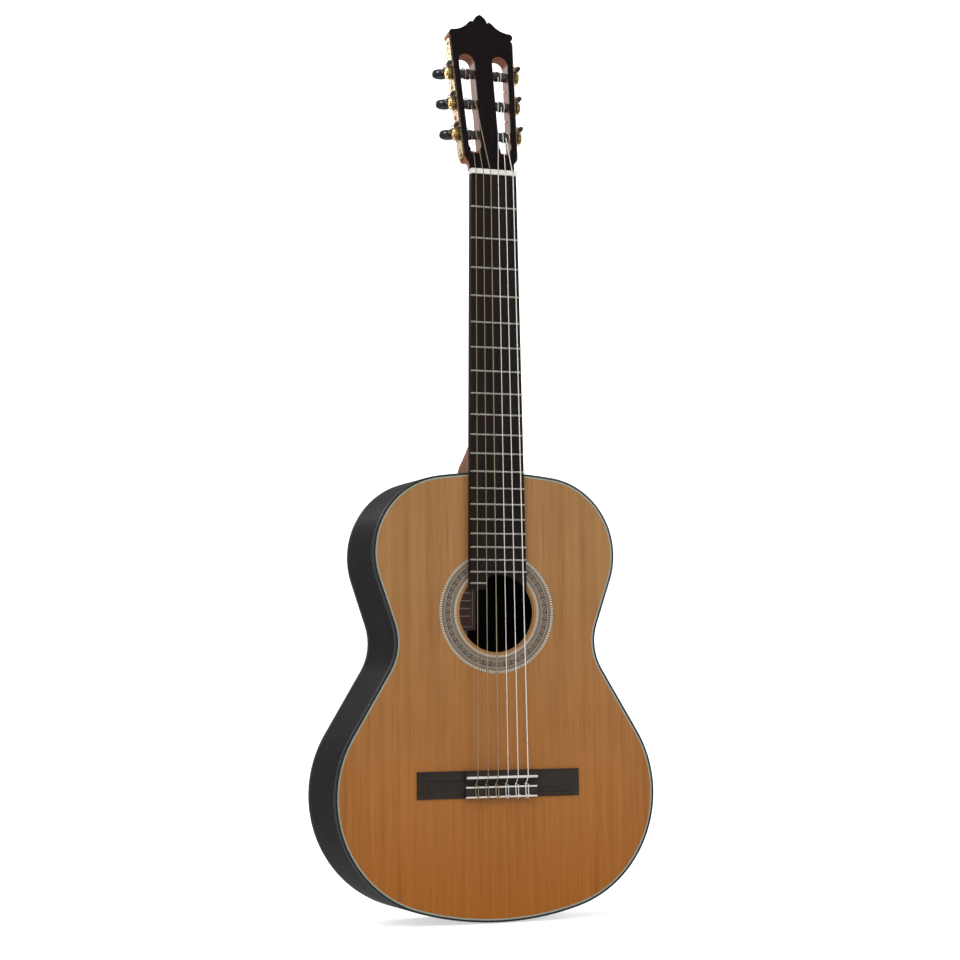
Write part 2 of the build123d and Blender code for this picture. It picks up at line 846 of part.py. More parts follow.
def make_worm():
    """Worm about Z: threaded middle, two journals, ball, bead and silver collar."""
    thread_length = (worm_turns - 1) * gear_pitch
    flank = tan(radians(pressure_angle))
    outer = worm_pitch_radius + tooth_addendum
    sunk = worm_root_radius - 0.3
    half_low = tooth_half_thickness + (worm_pitch_radius - sunk) * flank
    half_high = tooth_half_thickness - tooth_addendum * flank
    start = -thread_length / 2
    helix = Pos(0, 0, start) * Helix(gear_pitch, thread_length, worm_pitch_radius)
    section = make_face(Polyline(
        (sunk - worm_pitch_radius, -half_low),
        (outer - worm_pitch_radius, -half_high),
        (outer - worm_pitch_radius, half_high),
        (sunk - worm_pitch_radius, half_low),
        close=True,
    ))
    place = Plane(origin=helix @ 0, x_dir=(1, 0, 0), z_dir=helix % 0)
    thread = sweep(place * section, path=helix, is_frenet=True)
    core = Cylinder(worm_root_radius, 2 * worm_half_length)
    end = worm_half_length + 2 * bracket_gap + bracket_thickness
    shaft = Cylinder(journal_diameter / 2, 2 * end)
    ball = Pos(0, 0, end + ball_diameter / 2 - ball_sunk) * Sphere(ball_diameter / 2)
    collar_start = end + bead_length
    collar = Pos(0, 0, -collar_start - collar_length / 2) * Cylinder(
        collar_diameter / 2 - 0.5, collar_length
    )
    bead = Pos(0, 0, -end - bead_length / 2) * Sphere(collar_diameter / 2)
    bead &= Pos(0, 0, -end - bead_length / 2) * Box(10, 10, bead_length)
    stem_middle = collar_start + collar_length + stem_length / 2
    stem = Pos(0, 0, -stem_middle) * Cylinder(journal_diameter / 2, stem_length)
    return core + thread + shaft + ball + bead + collar + stem


def make_button():
    """Oval thumb button on the worm's rear end, stem hole included."""
    start = worm_half_length + 2 * bracket_gap + bracket_thickness + bead_length + collar_length
    centre = -start - button_length / 2
    oval = Ellipse(button_width / 2, button_length / 2)
    slab = extrude(Plane.XZ * oval, amount=button_thickness / 2, both=True)
    slab = fillet(slab.edges(), button_thickness * 0.42)
    neck = Pos(0, 0, button_length / 2 - 1.5) * Cylinder(collar_diameter / 2, 3)
    bore = Pos(0, 0, (button_length - stem_length) / 2) * Cylinder(
        journal_diameter / 2, stem_length
    )
    return Pos(0, 0, centre) * (slab + neck - bore)


def worm_place(side, number):
    """Where a worm sits in its machine, its ball to the front."""
    flip = Rot(-90, 0, 0) if side > 0 else Rot(90, 0, 0)
    return tuner_frame(side, number) * Pos(gear_worm_distance, 0, gear_mid_height) * flip


def make_roller(side, number, string):
    """Roller with its stepped shaft and the string wound on it."""
    reach = roller_reach(number)
    body_start = -0.3
    length = reach + body_start
    barrel = Pos(0, 0, body_start - length / 2) * Cylinder(roller_diameter / 2, length)
    shaft_end = gear_mid_height - gear_width / 2
    shaft = Pos(0, 0, (shaft_end + body_start) / 2) * Cylinder(
        shaft_diameter / 2, shaft_end - body_start
    )
    seat = Pos(0, 0, shaft_end + gear_width / 2) * Cylinder(gear_seat_diameter / 2, gear_width)
    diameter = string_diameters[string]
    height = wrap_positions[number] - head_half_width(roller_starts + number * roller_pitch)
    rings = Sketch()
    for turn in range(wrap_turns):
        x = roller_diameter / 2 + diameter / 2
        z = height + (turn - (wrap_turns - 1) / 2) * diameter * 0.92
        rings += Pos(x, z) * Circle(diameter / 2)
    rings += Pos(roller_diameter / 2, height) * Rectangle(
        diameter, (wrap_turns - 0.6) * diameter
    )
    wrap = revolve(Plane.XZ * rings, Axis.Z) - Cylinder(roller_diameter / 2, 4 * reach)
    frame = tuner_frame(side, number)
    return frame * (barrel + shaft + seat), frame * wrap


# ---------------------------------------------------------------- fingerboard
def fret_z(number):
    """Height of a fret."""
    return -scale_length * (1 - 2 ** (-number / 12))


def board_end(x, radius):
    """Height of the board's end arc at a place across it."""
    return soundhole_z + (radius ** 2 - x ** 2) ** 0.5


def fingerboard_sketch():
    """Front view: tapered, ending in an arc over the soundhole with a treble horn."""
    horn_end = fret_z(full_frets + 1) - horn_past_last_fret
    half_top = nut_width / 2
    half_horn = board_width(horn_end) / 2
    bass_end = board_end(half_horn, board_end_radius)
    bass_half = board_width(bass_end) / 2
    bass_end = board_end(bass_half, board_end_radius)
    arc_left = horn_inner_x - 6
    arc_start = (bass_half, bass_end)
    arc_stop = (-arc_left, board_end(arc_left, board_end_radius))
    return make_face([
        Line((-half_top, 0), (half_top, 0)),
        Line((half_top, 0), arc_start),
        ThreePointArc(arc_start, (0, board_end(0, board_end_radius)), arc_stop),
        ThreePointArc(
            arc_stop,
            (-horn_inner_x + 1.5, arc_stop[1] - 3.5),
            (-horn_inner_x, fret_z(full_frets + 1)),
        ),
        Line((-horn_inner_x, fret_z(full_frets + 1)), (-horn_inner_x, horn_end)),
        Line((-horn_inner_x, horn_end), (-half_horn, horn_end)),
        Line((-half_horn, horn_end), (-half_top, 0)),
    ])


def fret_span(number):
    """Left and right ends of a fret; the last one covers only the horn."""
    half = board_width(fret_z(number)) / 2
    return (-half, half) if number <= full_frets else (-half, -horn_inner_x)


def make_frets():
    """Frets: a rounded crown over a tang, one for each slot of the board."""
    frets = []
    tang = Pos(0, (fret_tang_depth - 0.2) / 2) * Rectangle(fret_tang_width, fret_tang_depth + 0.2)
    half = fret_crown_width / 2
    crown = make_face([
        ThreePointArc((-half, 0), (0, -fret_crown_height), (half, 0)), Line((half, 0), (-half, 0))
    ])
    for number in range(1, full_frets + 2):
        left, right = fret_span(number)
        section = Plane(
            origin=(left, -board_thickness, fret_z(number)), x_dir=(0, 0, -1), z_dir=(1, 0, 0)
        )
        frets.append(extrude(section * (crown + tang), amount=right - left))
    return frets


def make_fingerboard():
    """Board with a slot for each fret's tang."""
    board = prism(fingerboard_sketch(), -board_thickness, 0)
    half = fret_tang_width / 2
    bottom = -board_thickness + fret_tang_depth
    for number in range(1, full_frets + 2):
        z = fret_z(number)
        left, right = fret_span(number)
        board -= block((left - 1, right), (-far, bottom), (z - half, z + half))
    return board


# ---------------------------------------------------------------- strings
def string_x(string, spread):
    """Place of a string across the neck for a given spread."""
    return spread * (string / (string_count - 1) - 0.5)


def string_y(string, z):
    """Depth of a string's centre along its free length."""
    radius = string_diameters[string] / 2
    low = fret_top + nut_action
    rise = (fret_top + octave_action - low) / joint_z
    return -(low + rise * z + radius)


def string_machine(string):
    """Side and number of the machine that takes a string."""
    treble = string < 3
    number = string if treble else string_count - 1 - string
    return (SIDES["treble"] if treble else SIDES["bass"]), number


def string_head_end(string):
    """Last point of the straight string, just short of the turns on its roller."""
    side, number = string_machine(string)
    diameter = string_diameters[string]
    along = roller_starts + number * roller_pitch
    lift = roller_diameter / 2 + diameter * 0.5 + 0.15 - roller_axis_depth
    return HEAD.from_local_coords((side * wrap_positions[number], along - wrap_gap * 6, lift))


def string_points(string):
    """Bends of a string from its roller to the end of its loop on the bridge."""
    radius = string_diameters[string] / 2
    nut_x = string_x(string, nut_string_spread)
    x = string_x(string, saddle_string_spread)
    loop_x = x + tie_loop_offset
    top = -(bridge_block_height + strip_proud + radius + 0.15)
    front = tie_block_front + radius + 0.5
    back = tie_block_back - radius - 0.4
    return [
        tuple(string_head_end(string)),
        (nut_x, string_y(string, 0), 0),
        (x, string_y(string, saddle_z), saddle_z),
        (x, -tie_hole_height, front),
        (x, -tie_hole_height, back),
        (loop_x, top, back),
        (loop_x, top, front),
        (loop_x - 0.3, -tie_hole_height - 2.4 * radius, front + 0.3),
    ]


def tube(points, radius):
    """Round wire through the points with rounded corners."""
    path = Polyline(*points)
    section = Plane(origin=path @ 0, z_dir=path % 0) * Circle(radius)
    return sweep(section, path=path, transition=Transition.ROUND)


def make_string(string):
    """One string."""
    return tube(string_points(string), string_diameters[string] / 2)


# ---------------------------------------------------------------- nut, bridge, saddle
def make_nut():
    """Nut with a sloping groove for each string."""
    half = nut_width / 2
    body = block((-half, half), (-nut_height, 0), (0, nut_thickness))
    body = fillet(body.edges().filter_by(Axis.X).group_by(Axis.Y)[0], 0.8)
    for string in range(string_count):
        points = string_points(string)
        body -= groove(points[1], points[0], string_diameters[string])
        body -= groove(points[1], points[2], string_diameters[string])
    return body


def groove(start, end, diameter):
    """Open groove with a round bottom, from a point along a string."""
    radius = diameter / 2 + groove_clearance
    run = Vector(*end) - Vector(*start)
    frame = Plane(origin=start, x_dir=(1, 0, 0), z_dir=run)
    up = 1 if frame.y_dir.Y < 0 else -1
    length = 3 * nut_thickness
    round_part = frame * Pos(0, 0, length / 2 - radius) * Cylinder(radius, length)
    open_part = frame * Pos(0, up * nut_height / 2, length / 2 - radius) * Box(
        2 * radius, nut_height, length
    )
    return round_part + open_part


bridge_front = saddle_z + bridge_ahead_of_saddle
bridge_back = bridge_front - bridge_width
saddle_block_back = bridge_front - saddle_block_width
tie_block_front = saddle_block_back - tie_channel_width
tie_block_back = bridge_back + 0.5


def section_extrude(points_or_face, length):
    """Solid from a (z, y) section, centred on the middle line and extruded across."""
    plane = Plane(origin=(-length / 2, 0, 0), x_dir=(0, 0, 1), z_dir=(1, 0, 0))
    return extrude(plane * points_or_face, amount=length)


def make_bridge():
    """Bridge: arched wings, saddle block, channel and tie block with six holes."""
    middle = (bridge_front + bridge_back) / 2
    wing = make_face([
        Line((bridge_back, 0), (bridge_front, 0)),
        Line((bridge_front, 0), (bridge_front, wing_edge_height)),
        ThreePointArc(
            (bridge_front, wing_edge_height), (middle, wing_height), (bridge_back, wing_edge_height)
        ),
        Line((bridge_back, wing_edge_height), (bridge_back, 0)),
    ])
    wings = section_extrude(wing, bridge_length)
    for side in (-1, 1):
        wings -= wing_bevel(side)
    block_section = make_face(Polyline(
        (tie_block_back, 0),
        (tie_block_back, bridge_block_height),
        (tie_block_front, bridge_block_height),
        (tie_block_front, tie_channel_floor),
        (saddle_block_back, tie_channel_floor),
        (saddle_block_back, bridge_block_height),
        (bridge_front - 2.2, bridge_block_height),
        (bridge_front - 0.4, bridge_block_height - 3.5),
        (bridge_front - 0.4, 0),
        close=True,
    ))
    bridge = wings - block(
        (-bridge_block_length / 2, bridge_block_length / 2),
        (-far, -tie_channel_floor),
        (bridge_back, bridge_front),
    )
    bridge += section_extrude(block_section, bridge_block_length)
    bridge -= saddle_slot()
    for string in range(string_count):
        x = string_x(string, saddle_string_spread)
        hole = Cylinder(tie_hole_diameter / 2, 2 * bridge_width)
        bridge -= (Pos(x, -tie_hole_height, middle - bridge_width) * hole) & block(
            (-far, far), (-far, 0), (bridge_back - 1, tie_block_front + 1)
        )
    for strip in make_tie_strips():
        bridge -= strip
    return bridge


def wing_bevel(side):
    """Wedge that takes the end of a wing down to a thin edge."""
    x_end = side * bridge_length / 2
    x_start = side * (bridge_length / 2 - wing_bevel_length)
    profile = make_face([
        ThreePointArc(
            (x_start, wing_height + 0.4),
            ((x_start + x_end) / 2, (wing_height + wing_edge_height) / 2 - 0.5),
            (x_end + side, wing_edge_height * 0.9),
        ),
        Line((x_end + side, wing_edge_height * 0.9), (x_end + side, 2 * wing_height)),
        Line((x_end + side, 2 * wing_height), (x_start, 2 * wing_height)),
        Line((x_start, 2 * wing_height), (x_start, wing_height + 0.4)),
    ])
    plane = Plane(origin=(0, 0, bridge_back - 1), x_dir=(1, 0, 0), z_dir=(0, 0, -1))
    wedge = extrude(plane * profile, amount=-(bridge_width + 2))
    return wedge


def saddle_slot():
    """Slot that takes the saddle."""
    half = saddle_thickness / 2
    return block(
        (-saddle_length / 2, saddle_length / 2),
        (-far, -(bridge_block_height - saddle_slot_depth)),
        (saddle_z - half, saddle_z + half),
    )


def make_saddle():
    """Saddle: straight, with a rounded top just under the strings."""
    top = -string_y(0, saddle_z) - string_diameters[0] / 2 - groove_clearance
    half = saddle_thickness / 2
    bottom = bridge_block_height - saddle_slot_depth
    saddle = block(
        (-saddle_length / 2, saddle_length / 2), (-top, -bottom), (saddle_z - half, saddle_z + half)
    )
    saddle = fillet(saddle.edges().filter_by(Axis.X).group_by(Axis.Y)[0], half * 0.9)
    for string in range(string_count):
        points = string_points(string)
        saddle -= groove(points[2], points[1], string_diameters[string])
        saddle -= groove(points[2], points[3], string_diameters[string])
    return saddle


def make_tie_strips():
    """Two ivory-coloured strips along the tie block's top edges."""
    half = bridge_block_length / 2
    heights = (-(bridge_block_height + strip_proud), -(bridge_block_height - strip_depth))
    front = block((-half, half), heights, (tie_block_front - strip_width, tie_block_front))
    back = block((-half, half), heights, (tie_block_back, tie_block_back + strip_width))
    return front, back


# ---------------------------------------------------------------- build
def write_body():
    """Write every node of the sound box."""
    save("soundboard", make_soundboard())
    save("rosette", make_rosette())
    save("soundhole_ring", make_soundhole_ring())
    save("fan_braces", *make_fan_braces())
    save("harmonic_bars", *make_harmonic_bars())
    plates, strip = make_back()
    save("back_plates", plates)
    save("back_centre_strip", strip)
    save("back_braces", *make_back_braces())
    for name, side in SIDES.items():
        save(f"rib_{name}", make_ribs(side))
    save("bindings", *make_bindings())
    save("front_purfling", make_purfling())
    save("linings", *make_linings())
    save("tail_block", make_tail_block())
    save("tail_strip", make_tail_strip())
    save("label", make_label())


def write_neck():
    """Write the neck, heel, head and fingerboard nodes."""
    blank = neck_and_head_blank()
    neck = blank - scarf_side()
    save("neck_shaft", neck)
    save("heel_block", make_heel_block(neck))
    save("heel_cap", make_heel_cap())
    save("head_core", make_head(blank))
    save("head_veneer", make_veneer())
    save("fingerboard", make_fingerboard())
    save("frets", *make_frets())
    save("nut", make_nut())


def write_bridge_and_strings():
    """Write the bridge nodes and the six strings."""
    save("bridge", make_bridge())
    save("saddle", make_saddle())
    save("tie_block_strips", *make_tie_strips())
    for string in range(string_count):
        save(f"string_{string + 1}", make_string(string))


def write_tuners():
    """Write both tuner plates and the six machines."""
    gear = make_gear()
    screw = make_gear_screw()
    worm = make_worm()
    button = make_button()
    screws = []
    for name, side in SIDES.items():
        save(f"tuner_plate_{name}", make_plate(side))
        screws += plate_screw_solids(side)
    save("plate_screws", *screws)
    turns = {side: button_turns[name] for name, side in SIDES.items()}
    for string in range(string_count):
        side, number = string_machine(string)
        label = string + 1
        middle = tuner_frame(side, number) * Pos(0, 0, gear_mid_height)
        place = worm_place(side, number)
        save(f"worm_{label}", place * worm)
        save(f"button_{label}", place * Rot(0, 0, turns[side]) * button)
        save(f"gear_{label}", middle * gear, middle * screw)
        save(f"roller_{label}", *make_roller(side, number, string))


os.makedirs("parts", exist_ok=True)
write_body()
write_neck()
write_bridge_and_strings()
write_tuners()
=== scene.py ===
"""Finishes, fine pieces, floor, lights and camera of a left-handed classical guitar.

Lengths are metres. Z runs up the neck to the head, the soundboard faces -Y, and +X is the
bass side. The origin is the fingerboard edge of the nut, in the soundboard's front plane.
"""

import json
import logging
import math
from dataclasses import dataclass, field
from enum import Enum

import bpy
import numpy as np
from mathutils import Matrix, Vector


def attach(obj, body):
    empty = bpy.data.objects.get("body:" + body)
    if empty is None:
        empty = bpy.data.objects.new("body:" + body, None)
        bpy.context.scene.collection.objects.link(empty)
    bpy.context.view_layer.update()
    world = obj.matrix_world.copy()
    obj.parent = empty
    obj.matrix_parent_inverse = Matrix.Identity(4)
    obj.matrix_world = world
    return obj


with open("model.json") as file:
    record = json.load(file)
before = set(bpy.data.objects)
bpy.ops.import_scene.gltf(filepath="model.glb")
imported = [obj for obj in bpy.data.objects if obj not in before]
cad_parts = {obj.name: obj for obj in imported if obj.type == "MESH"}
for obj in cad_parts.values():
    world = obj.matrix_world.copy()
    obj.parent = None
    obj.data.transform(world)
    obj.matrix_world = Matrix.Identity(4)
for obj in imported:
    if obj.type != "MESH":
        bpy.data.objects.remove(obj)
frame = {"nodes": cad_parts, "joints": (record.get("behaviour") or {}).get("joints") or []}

LOG = logging.getLogger("guitar")
Colour = tuple[float, float, float]
Socket = bpy.types.NodeSocket
Value = float | Colour | Socket
GUITAR = "guitar"


class Grain(Enum):
    """Direction that a wood's grain runs in, as the squeeze put on the pattern's axes."""

    UP = (1.0, 1.0, 0.012)
    ACROSS = (0.012, 1.0, 1.0)


class Ends(Enum):
    """Which end rings of a surface close on their middle point."""

    START = (True, False)
    BOTH = (True, True)


class Wire(Enum):
    """Make of a string."""

    PLAIN = "nylon"
    WOUND = "wound_string"


# ------------------------------------------------------------------ node graphs
class NodeGraph:
    """A material's node tree round one principled shader."""

    def __init__(self, name: str, constants: dict[str, float | Colour]) -> None:
        """Start a material.

        Args:
            name: The material's name.
            constants: Values that are the same all over, by shader socket.
        """
        self.material = bpy.data.materials.new(name)
        self.material.use_nodes = True
        self.tree = self.material.node_tree
        self.shader = self.tree.nodes["Principled BSDF"]
        for socket, value in constants.items():
            self.set(self.shader, socket, value)

    def set(self, node: bpy.types.Node, socket: str | int, value: Value) -> None:
        """Link or set one input.

        Args:
            node: The node that has the input.
            socket: The input's name or number.
            value: A number, a colour or an output to link.
        """
        target = node.inputs[socket]
        if isinstance(value, Socket):
            self.tree.links.new(value, target)
        elif isinstance(value, tuple) and target.type == "RGBA":
            target.default_value = (*value, 1.0)
        else:
            target.default_value = value

    def add(self, kind: str, inputs: dict[str | int, Value], **settings: object) -> bpy.types.Node:
        """Add a node.

        Args:
            kind: The node's type.
            inputs: Values or links for its inputs.
            settings: Its other properties.

        Returns:
            The node.
        """
        node = self.tree.nodes.new(kind)
        for key, value in settings.items():
            setattr(node, key, value)
        for socket, value in inputs.items():
            self.set(node, socket, value)
        return node

    def place(self, scale: Colour = (1, 1, 1), shift: Colour = (0, 0, 0)) -> Socket:
        """Object coordinates, scaled and then shifted.

        Args:
            scale: Factor for each axis.
            shift: Distance added to each axis.

        Returns:
            The vector.
        """
        where = self.add("ShaderNodeTexCoord", {}).outputs["Object"]
        inputs = {"Vector": where, "Scale": scale, "Location": shift}
        return self.add("ShaderNodeMapping", inputs).outputs[0]

    def split(self, vector: Socket) -> tuple[Socket, Socket, Socket]:
        """The vector's three parts."""
        parts = self.add("ShaderNodeSeparateXYZ", {0: vector}).outputs
        return parts[0], parts[1], parts[2]

    def join(self, x: Value, y: Value, z: Value) -> Socket:
        """The vector of three parts."""
        return self.add("ShaderNodeCombineXYZ", {0: x, 1: y, 2: z}).outputs[0]

    def math(self, operation: str, a: Value, b: Value = 0.0, c: Value = 0.0) -> Socket:
        """Result of one arithmetic step.

        Args:
            operation: The step's name.
            a: First number.
            b: Second number.
            c: Third number.

        Returns:
            The number.
        """
        return self.add("ShaderNodeMath", {0: a, 1: b, 2: c}, operation=operation).outputs[0]

    def noise(
        self, vector: Socket, scale: float, detail: float = 3.0, rough: float = 0.55
    ) -> Socket:
        """Smooth random pattern.

        Args:
            vector: Where to read it.
            scale: Features for each unit of length.
            detail: Number of finer layers.
            rough: Share of the finer layers.

        Returns:
            A number about 0.5.
        """
        inputs = {"Vector": vector, "Scale": scale, "Detail": detail, "Roughness": rough}
        return self.add("ShaderNodeTexNoise", inputs).outputs[0]

    def span(self, value: Socket, low: float, high: float, start: float, end: float) -> Socket:
        """Number carried from one range to another, held at both ends.

        Args:
            value: The number.
            low: Start of its range.
            high: End of its range.
            start: Result at the low end.
            end: Result at the high end.

        Returns:
            The new number.
        """
        inputs = {0: value, 1: low, 2: high, 3: start, 4: end}
        return self.add("ShaderNodeMapRange", inputs).outputs[0]

    def mix(self, share: Value, first: Value, second: Value, blend: str = "MIX") -> Socket:
        """Two colours mixed.

        Args:
            share: Share of the second colour.
            first: First colour.
            second: Second colour.
            blend: How they mix.

        Returns:
            The colour.
        """
        inputs = {0: share, 6: first, 7: second}
        node = self.add("ShaderNodeMix", inputs, data_type="RGBA", blend_type=blend)
        return node.outputs[2]

    def between(self, value: Socket, low: float, high: float) -> Socket:
        """One where the number lies between two limits, else zero."""
        over = self.math("GREATER_THAN", value, low)
        return self.math("MULTIPLY", over, self.math("LESS_THAN", value, high))

    def finish(
        self, colour: Socket, roughness: Socket, relief: Socket, height: float
    ) -> bpy.types.Material:
        """Wire the patterns to the shader.

        Args:
            colour: Base colour.
            roughness: Roughness.
            relief: Height pattern from 0 to 1.
            height: Height of the relief at 1, in metres.

        Returns:
            The finished material.
        """
        inputs = {"Height": relief, "Distance": height, "Strength": 1.0}
        bump = self.add("ShaderNodeBump", inputs)
        self.set(self.shader, "Base Color", colour)
        self.set(self.shader, "Roughness", roughness)
        self.set(self.shader, "Normal", bump.outputs[0])
        return self.material


# ------------------------------------------------------------------ finishes
@dataclass(frozen=True)
class WoodFinish:
    """Straight-grained wood: fine growth lines, wider streaks, pores, a satin coat and, where
    asked, painted shade towards the bottom.
    """

    name: str
    light: Colour
    dark: Colour
    grain: Grain = Grain.UP
    line_pitch: float = 0.0013
    contrast: float = 0.5
    pores: float = 0.0
    roughness: float = 0.42
    coat: float = 0.0
    coat_roughness: float = 0.25
    specular: float = 0.5
    relief: float = 0.00002
    bookmatched: bool = False
    edge_line: Colour | None = None
    # painted shade: a colour multiplied in below the given heights, darkening the lower part
    low_painted_shade: Colour | None = None
    painted_shade_heights: tuple[float, float] = (-0.80, -0.44)

    def make(self) -> bpy.types.Material:
        """Line, streak and slow noise add up and run from the dark to the light colour."""
        graph = NodeGraph(
            self.name,
            {
                "Coat Weight": self.coat,
                "Coat Roughness": self.coat_roughness,
                "Specular IOR Level": self.specular,
            },
        )
        where = graph.place()
        if self.bookmatched:
            x, y, z = graph.split(where)
            where = graph.join(graph.math("ABSOLUTE", x), y, z)
        squeezed = graph.add("ShaderNodeMapping", {"Vector": where, "Scale": self.grain.value})
        along = squeezed.outputs[0]
        lines = graph.noise(along, 1 / self.line_pitch, 2.0, 0.6)
        streaks = graph.noise(along, 0.13 / self.line_pitch, 3.0, 0.6)
        slow = graph.noise(where, 7.0, 2.0)
        total = graph.math("MULTIPLY_ADD", lines, 0.45, graph.math("MULTIPLY", streaks, 0.35))
        total = graph.math("MULTIPLY_ADD", slow, 0.20, total)
        reach = 0.5 * self.contrast
        share = graph.span(total, 0.34, 0.66, 0.5 - reach, 0.5 + reach)
        colour = graph.mix(share, self.dark, self.light)
        # painted shade: the lower part is painted darker and more orange, standing in for the top
        # light's haze fading down the board
        if self.low_painted_shade is not None:
            _, _, height = graph.split(where)
            low = graph.span(height, *self.painted_shade_heights, 1.0, 0.0)
            colour = graph.mix(low, colour, self.low_painted_shade, "MULTIPLY")
        relief = graph.math("MULTIPLY", lines, 0.5)
        if self.pores > 0:
            pore_noise = graph.noise(along, 2.2 / self.line_pitch, 3.0, 0.7)
            pore = graph.span(pore_noise, 0.56, 0.66, 0.0, self.pores)
            deep = tuple(0.35 * part for part in self.dark)
            colour = graph.mix(pore, colour, deep)
            relief = graph.math("SUBTRACT", relief, graph.math("MULTIPLY", pore, 0.8))
        if self.edge_line is not None:
            _, y, _ = graph.split(where)
            line = graph.between(y, 0.00595, 0.0067)
            colour = graph.mix(graph.math("MULTIPLY", line, 0.55), colour, self.edge_line)
        rough = graph.span(slow, 0.3, 0.7, self.roughness - 0.05, self.roughness + 0.06)
        return graph.finish(colour, rough, relief, self.relief)


@dataclass(frozen=True)
class MosaicFinish:
    """Rosette: checked edge rings, two grey-beige bands and a tiled middle band."""

    name: str
    centre_height: float
    inner: float = 0.046
    width: float = 0.0195
    motifs: int = 44
    checks: int = 150
    pale: Colour = (0.42, 0.36, 0.28)
    band: Colour = (0.150, 0.105, 0.072)
    brown: Colour = (0.050, 0.034, 0.020)
    ground: Colour = (0.030, 0.026, 0.018)
    black: Colour = (0.008, 0.007, 0.006)

    def make(self) -> bpy.types.Material:
        """Radius and angle about the hole's centre pick the ring and the tile."""
        graph = NodeGraph(self.name, {"Coat Weight": 0.15, "Coat Roughness": 0.3})
        x, _, z = graph.split(graph.place(shift=(0.0, 0.0, -self.centre_height)))
        squares = graph.math("ADD", graph.math("MULTIPLY", x, x), graph.math("MULTIPLY", z, z))
        radius = graph.math("SQRT", squares)
        turn = graph.math("DIVIDE", graph.math("ARCTAN2", z, x), 2 * math.pi)
        ring = graph.math("DIVIDE", graph.math("SUBTRACT", radius, self.inner), self.width)
        streak_place = graph.join(graph.math("MULTIPLY", turn, 420.0), ring, 0.0)
        streaks = graph.noise(streak_place, 1.0, 3.0, 0.65)
        wood = graph.mix(graph.span(streaks, 0.3, 0.7, 0.0, 0.6), self.band, self.brown)
        motif = graph.math("FRACT", graph.math("MULTIPLY", turn, float(self.motifs)))
        stepped = graph.math("SNAP", motif, 0.1)
        across = graph.math("ABSOLUTE", graph.math("MULTIPLY_ADD", stepped, 2.0, -0.9))
        level = graph.math("SNAP", graph.math("MULTIPLY_ADD", ring, 6.8, -3.4), 0.28)
        up = graph.math("ABSOLUTE", graph.math("ADD", level, 0.14))
        diamond = graph.math("ADD", across, up)
        outer = graph.math("LESS_THAN", diamond, 0.95)
        inner = graph.math("LESS_THAN", diamond, 0.5)
        tile = graph.mix(outer, self.ground, self.band)
        tile = graph.mix(inner, tile, self.brown)
        colour = graph.mix(graph.between(ring, 0.36, 0.665), wood, tile)
        row = graph.math("FLOOR", graph.math("MULTIPLY", ring, 9.0))
        count = graph.math("MULTIPLY", turn, float(self.checks))
        tick = graph.math("MULTIPLY_ADD", row, 0.5, count)
        check = graph.math("GREATER_THAN", graph.math("FRACT", tick), 0.56)
        checked = graph.mix(check, self.pale, self.black)
        for low, high in ((-0.1, 0.112), (0.885, 1.1)):
            colour = graph.mix(graph.between(ring, low, high), colour, checked)
        for low, high in ((0.112, 0.135), (0.865, 0.885), (0.345, 0.36), (0.665, 0.68)):
            colour = graph.mix(graph.between(ring, low, high), colour, self.pale)
        for low, high in ((0.135, 0.165), (0.835, 0.865)):
            colour = graph.mix(graph.between(ring, low, high), colour, self.black)
        rough = graph.span(streaks, 0.3, 0.7, 0.38, 0.5)
        return graph.finish(colour, rough, streaks, 0.00001)


@dataclass(frozen=True)
class MetalFinish:
    """Plated or polished metal with fine brushing, soft tarnish and rubbed spots."""

    name: str
    colour: Colour
    tarnish: Colour
    roughness: float = 0.24
    brushing: Colour = (1.0, 1.0, 0.05)
    tarnish_share: float = 0.35
    relief: float = 0.000006

    def make(self) -> bpy.types.Material:
        """Slow noise brings in the tarnish, squeezed noise gives the brushing."""
        graph = NodeGraph(self.name, {"Metallic": 1.0})
        brushed = graph.noise(graph.place(scale=self.brushing), 5200.0, 2.0, 0.6)
        cloud = graph.noise(graph.place(), 160.0, 4.0, 0.6)
        share = graph.span(cloud, 0.42, 0.68, 0.0, self.tarnish_share)
        colour = graph.mix(share, self.colour, self.tarnish)
        lift = graph.math("MULTIPLY", share, 0.25)
        rough = graph.math("ADD", graph.span(brushed, 0.3, 0.7, -0.05, 0.05), lift)
        rough = graph.math("ADD", rough, self.roughness)
        return graph.finish(colour, rough, brushed, self.relief)


@dataclass(frozen=True)
class EngravedFinish:
    """Gold plate with a fine stippled ground, as between cut scrolls."""

    name: str
    colour: Colour
    # painted shade: colour of the scroll cuts
    cut_shade: Colour
    roughness: float = 0.27

    def make(self) -> bpy.types.Material:
        """Cells give the stipple, rings of warped bands give the shallow scroll cuts, painted
        darker as painted shade.
        """
        graph = NodeGraph(self.name, {"Metallic": 1.0})
        where = graph.place()
        cells = graph.add("ShaderNodeTexVoronoi", {"Vector": where, "Scale": 1500.0}).outputs[0]
        bands = graph.add(
            "ShaderNodeTexWave",
            {
                "Vector": where,
                "Scale": 95.0,
                "Distortion": 7.0,
                "Detail": 1.0,
                "Detail Scale": 1.6,
            },
            wave_type="RINGS",
            rings_direction="X",
        ).outputs[1]
        cut = graph.span(bands, 0.10, 0.34, 1.0, 0.0)
        # painted shade: the scroll cuts are painted darker
        share = graph.math("MULTIPLY", cut, 0.75)
        colour = graph.mix(share, self.colour, self.cut_shade)
        stipple = graph.span(cells, 0.0, 0.7, 0.25, 0.0)
        relief = graph.math("SUBTRACT", stipple, cut)
        rough = graph.span(cells, 0.0, 0.8, self.roughness, self.roughness + 0.12)
        return graph.finish(colour, rough, relief, 0.00005)


